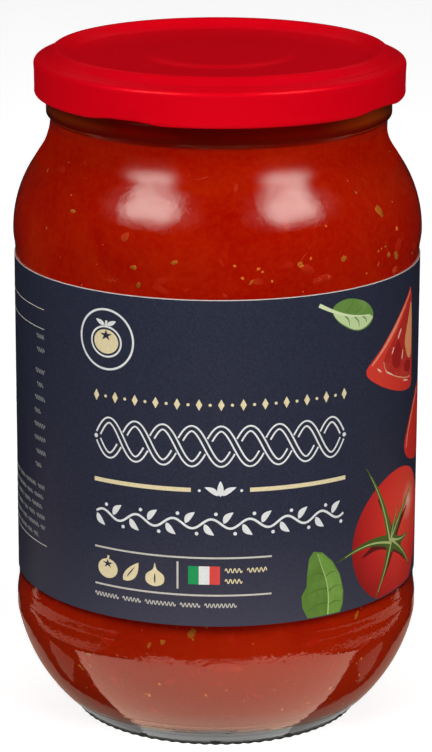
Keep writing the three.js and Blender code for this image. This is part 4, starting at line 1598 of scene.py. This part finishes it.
def draw_top_leaf():
    """A small basil leaf that lies on its side, with a pale stalk and folds."""
    ts = np.linspace(0, 1, 16)
    stalk = [(20.4 + 12.8 * t, 93.4 - 3.8 * t - 0.9 * math.sin(math.pi * t)) for t in ts]
    folds = [crease(foot, tip, (0.4, 0), (0.34, 0.08)) for foot, tip in TOP_LEAF_FOLDS]
    picture("top_leaf_body", 0, "leaf_dark", [closed_spline(TOP_LEAF_OUTLINE)])
    picture("top_leaf_lower", 1, "leaf_pale", [closed_spline(TOP_LEAF_LOWER)], step=0.7)
    picture("top_leaf_folds", 2, "leaf_fold", strokes=folds)
    picture("top_leaf_veins", 3, "leaf_vein", strokes=[(stalk, [0.8 - 0.64 * t for t in ts])])


def draw_low_leaf():
    """A basil leaf that stands on the label's lower edge, its right half lighter than its left."""
    right_half = [*spline(LOW_LEAF_RIB, 4), *LOW_LEAF_RIGHT_EDGE]
    creases = [crease(foot, tip, (0, 0.5), (0.3, 0.06)) for foot, tip in LOW_LEAF_CREASES]
    vein = spline(LOW_LEAF_RIB, 6)
    picture("low_leaf_body", 0, "leaf_green", [LOW_LEAF_OUTLINE])
    picture("low_leaf_light", 1, "leaf_light", [right_half], step=0.7)
    picture("low_leaf_creases", 2, "leaf_crease", strokes=creases)
    picture("low_leaf_veins", 3, "low_leaf_vein", strokes=[(vein, np.linspace(0.1, 0.3, len(vein)))])


# Stage: camera, floor and light; the camera's place is in metres

CAMERA_PLACE = (-0.00019, -0.64697, 0.25529)
CAMERA_PITCH = math.radians(16.066)
CAMERA_ROLL = math.radians(0.18)
FOCAL_PIXELS = 3300.0
IMAGE_HEIGHT = 752
SENSOR = 36.0


def make_camera():
    """The photograph's camera, fitted to the outlines of lid, label and base."""
    data = bpy.data.cameras.new("camera")
    data.sensor_width = SENSOR
    data.lens = FOCAL_PIXELS * SENSOR / IMAGE_HEIGHT
    camera = bpy.data.objects.new("camera", data)
    camera.matrix_world = (Matrix.Translation(CAMERA_PLACE)
                           @ Matrix.Rotation(math.pi / 2 - CAMERA_PITCH, 4, "X")
                           @ Matrix.Rotation(CAMERA_ROLL, 4, "Z"))
    bpy.context.scene.collection.objects.link(camera)
    bpy.context.scene.camera = camera


def stage_plane(name, corners, material):
    """A flat stage piece from its corners."""
    piece = mesh_object(name, corners, [tuple(range(len(corners)))], [material], smooth=False)
    return piece


def unseen_by(piece, *rays):
    """Leaves a piece out for some kinds of ray."""
    for ray in rays:
        setattr(piece, "visible_" + ray, False)


FLOOR_HALF = 3000


FLOOR_GLOW = 0.62
WHITE = (1.0, 1.0, 1.0, 1.0)


def make_floor():
    """A pale ground that glows a little; the camera sees it, but it shows in no glass, bounces no light
    and casts no shadow.
    """
    material, tree, shader = new_material("pale_floor")
    tone = mixed(tree, noise(tree, 12, detail=2), colour(244, 244, 244), colour(248, 248, 248))
    plug(shader, {"Base Color": tone, "Roughness": 0.9, "Specular IOR Level": 0.0,
                  "Emission Color": WHITE, "Emission Strength": FLOOR_GLOW})
    corners = [(x * FLOOR_HALF, y * FLOOR_HALF, 0) for x, y in ((-1, -1), (1, -1), (1, 1), (-1, 1))]
    floor = stage_plane("floor", corners, material)
    unseen_by(floor, "glossy", "transmission", "diffuse", "shadow")


SOFTBOX_TINT = (1.0, 0.985, 0.92, 1.0)
# How a softbox fades: to its sides, faintly further out, and from its foot to its top
SOFT_SIDES = (0.50, 0.18)
FAINT_SIDES = (0.85, 0.4)
FAINT_SHARE = 0.06
SOFT_NARROWING = ((0.3, 0.5, 1.12, 1), (0.5, 0.8, 1, 1.3))
SOFT_RISE = ((0.14, 0.0), (0.20, 0.10), (0.26, 0.28), (0.33, 0.60), (0.39, 0.86), (0.46, 1.0),
             (0.61, 1.0), (0.655, 0.90), (0.675, 0.78), (0.69, 0.66), (0.71, 0.54), (0.97, 0.0))


def softbox_colour(tree):
    """A softbox's light over its face: brightest in its middle, fading to its sides, foot and top."""
    face = source(tree, "TexCoord", "UV")
    up = part_of(tree, face, "Y")
    across = between(tree, part_of(tree, face, "X"), 0, 1, -1, 1)
    for narrowing in SOFT_NARROWING:
        across = product(tree, across, between(tree, up, *narrowing))
    across = combined(tree, "ABSOLUTE", across)
    bright = product(tree, eased_between(tree, across, *SOFT_SIDES), 1 - FAINT_SHARE)
    faint = product(tree, eased_between(tree, across, *FAINT_SIDES), FAINT_SHARE)
    rise = ramp(tree, up, [(place, (grey, grey, grey, 1)) for place, grey in SOFT_RISE])
    level = product(tree, combined(tree, "ADD", bright, faint), rise)
    return mixed(tree, level, (0, 0, 0, 1), SOFTBOX_TINT)


def glow_card(name, corners, strength, tint=None):
    """A glowing card that shows only in reflections: even in its tint, or else a softbox's face."""
    material = bpy.data.materials.new(name + "_glow")
    material.use_nodes = True
    tree = material.node_tree
    tree.nodes.clear()
    glow = add_node(tree, "Emission", {"Color": tint or softbox_colour(tree), "Strength": strength})
    add_node(tree, "OutputMaterial", {"Surface": glow.outputs["Emission"]})
    card = stage_plane(name, corners, material)
    unseen_by(card, "camera", "diffuse", "transmission", "shadow", "volume_scatter")
    return card


AIM = (0, 0, 105)
SOFTBOX_DISTANCE = 1100
# Softboxes seen in the glass: azimuth, elevation, half width and half height in degrees, strength
SOFTBOXES = {
    "softbox_left": (-45, 38, 38, 24, 9.2),
    "softbox_right": (50, 38, 38, 24, 9.2),
    "softbox_back_left": (-150, 42, 34, 24, 0.4),
    "softbox_back_right": (150, 42, 34, 24, 0.4),
}
# Lights: azimuth, elevation, distance, size, power in watts
LIGHTS = {
    "key_left": (-49, 28, 1100, (600, 400), 5.4),
    "key_right": (50, 28, 1100, (600, 400), 5.6),
    "front_fill": (0, 6, 1300, (600, 300), 2.9),
    "back": (180, 50, 1200, (800, 600), 1.6),
    "table_bounce": (0, -38, 800, (600, 400), 1.3),
}
TABLE_TINT = (1.0, 0.62, 0.46, 1.0)
# What the table and its surroundings show in the glass near the base: strength, tint and outline
TABLE_CARDS = {
    "table_front": (2.6, TABLE_TINT, [
        (-62, -27), (-64, -60), (-46, -87), (-27, -94), (0, -96), (37, -93), (60, -78), (72, -55),
        (62, -27), (16.8, -27), (8.5, -30.8), (0, -32.7), (-8.5, -30.8), (-16.8, -27)]),
    "table_strip": (0.8, TABLE_TINT, [
        (103, 37), (91, 7), (92, -14), (88, -36), (77, -63), (79, -35), (85, -20), (87, -2), (87, 13),
        (94, 40)]),
    "table_patch": (0.42, TABLE_TINT, [
        (64, -6), (57, -14), (49, -23), (37, -17), (45, -12), (55, -7)]),
    "table_far": (0.7, TABLE_TINT, [
        (105, 50), (135, 14), (152, -27), (153, -86), (140, -130), (175, -120), (195, -30), (180, 60)]),
    "table_near": (0.4, TABLE_TINT, [
        (62, 60), (59, 20), (54, 4), (46, -5), (40, -10), (31, -21), (23, -26.8), (16.5, -26.8),
        (24, -20.4), (29, -12.3), (31.5, 0), (31.2, 10), (35, 60)]),
    "table_rim": (1.1, WHITE, [
        (0, -32.5), (8.5, -30.6), (16.5, -26.8), (14.8, -25.6), (0, -29.6)]),
    "table_rim_side": (0.5, WHITE, [
        (16.5, -26.8), (24, -20.4), (29, -12.3), (31.5, 0), (30.5, 9), (28.5, 8), (29.6, 0),
        (25.6, -14.8), (14.8, -25.6)]),
}
UNMIRRORED_CARD = "table_front"
TABLE_CARD_HEIGHT = 0.6


def towards(azimuth, elevation, distance):
    """A point at a distance from the aim; azimuth 0 is the camera's side and grows to the right."""
    azimuth, elevation = math.radians(azimuth), math.radians(elevation)
    direction = Vector((math.sin(azimuth) * math.cos(elevation),
                        -math.cos(azimuth) * math.cos(elevation), math.sin(elevation)))
    return Vector(AIM) + direction * distance


def softbox_card(name, azimuth, elevation, half_width, half_height, strength):
    """A softbox square to its line to the jar."""
    centre = towards(azimuth, elevation, SOFTBOX_DISTANCE)
    facing = (Vector(AIM) - centre).normalized()
    right = facing.cross(Vector((0, 0, 1))).normalized()
    across = right * SOFTBOX_DISTANCE * math.tan(math.radians(half_width))
    rise = right.cross(facing) * SOFTBOX_DISTANCE * math.tan(math.radians(half_height))
    places = ((0, 0), (1, 0), (1, 1), (0, 1))
    corners = [centre + across * (2 * u - 1) + rise * (2 * v - 1) for u, v in places]
    layer = glow_card(name, corners, strength).data.uv_layers.new(name="face")
    for loop, place in zip(layer.data, places):
        loop.uv = place


def area_light(name, azimuth, elevation, distance, size, energy):
    """A light that shows in no reflection, because a softbox stands for it there."""
    data = bpy.data.lights.new(name, "AREA")
    data.shape = "RECTANGLE"
    data.size, data.size_y = (side * MM for side in size)
    data.energy = energy
    light = bpy.data.objects.new(name, data)
    place = towards(azimuth, elevation, distance)
    light.location = place * MM
    light.rotation_mode = "QUATERNION"
    light.rotation_quaternion = (Vector(AIM) - place).to_track_quat("-Z", "Y")
    unseen_by(light, "glossy", "transmission")
    bpy.context.scene.collection.objects.link(light)


def make_lights():
    """Softboxes with lights in their places, and what the table shows in the glass."""
    for name, settings in SOFTBOXES.items():
        softbox_card(name, *settings)
    for name, settings in LIGHTS.items():
        area_light(name, *settings)
    for name, (strength, tint, outline) in TABLE_CARDS.items():
        glow_card(name, [(x, y, TABLE_CARD_HEIGHT) for x, y in outline], strength, tint)
        if name != UNMIRRORED_CARD:
            mirrored = [(-x, y, TABLE_CARD_HEIGHT) for x, y in outline]
            glow_card(name + "_left", mirrored, strength, tint)


# The world: its light, and what each kind of ray finds in its place
WORLD_LIGHT = 0.12
WORLD_SEEN = (("Is Camera Ray", 1.0), ("Is Transmission Ray", 0.28), ("Is Glossy Ray", 0.008))


def make_world():
    """White for the camera, dim for light, and darker still in and through the glass."""
    world = bpy.data.worlds.new("studio")
    world.use_nodes = True
    tree = world.node_tree
    tree.nodes.clear()

    def even(grey):
        return add_node(tree, "Background", {"Color": (grey, grey, grey, 1)}).outputs["Background"]

    surface = even(WORLD_LIGHT)
    for ray, grey in WORLD_SEEN:
        surface = either(tree, source(tree, "LightPath", ray), surface, even(grey))
    add_node(tree, "OutputWorld", {"Surface": surface})
    bpy.context.scene.world = world


bpy.context.scene.view_settings.view_transform = "Standard"
make_camera()
make_world()
make_floor()
make_lights()
make_glass()
make_sauce()
make_flecks()
make_lid()
# The navy's paler tone low down is a painted sheen of the pale floor
make_label(ink_material("navy_ink", colour(33, 36, 52), colour(50, 54, 74), low=colour(64, 66, 82)),
           ink_material("bare_paper", colour(226, 214, 208)))
make_print()
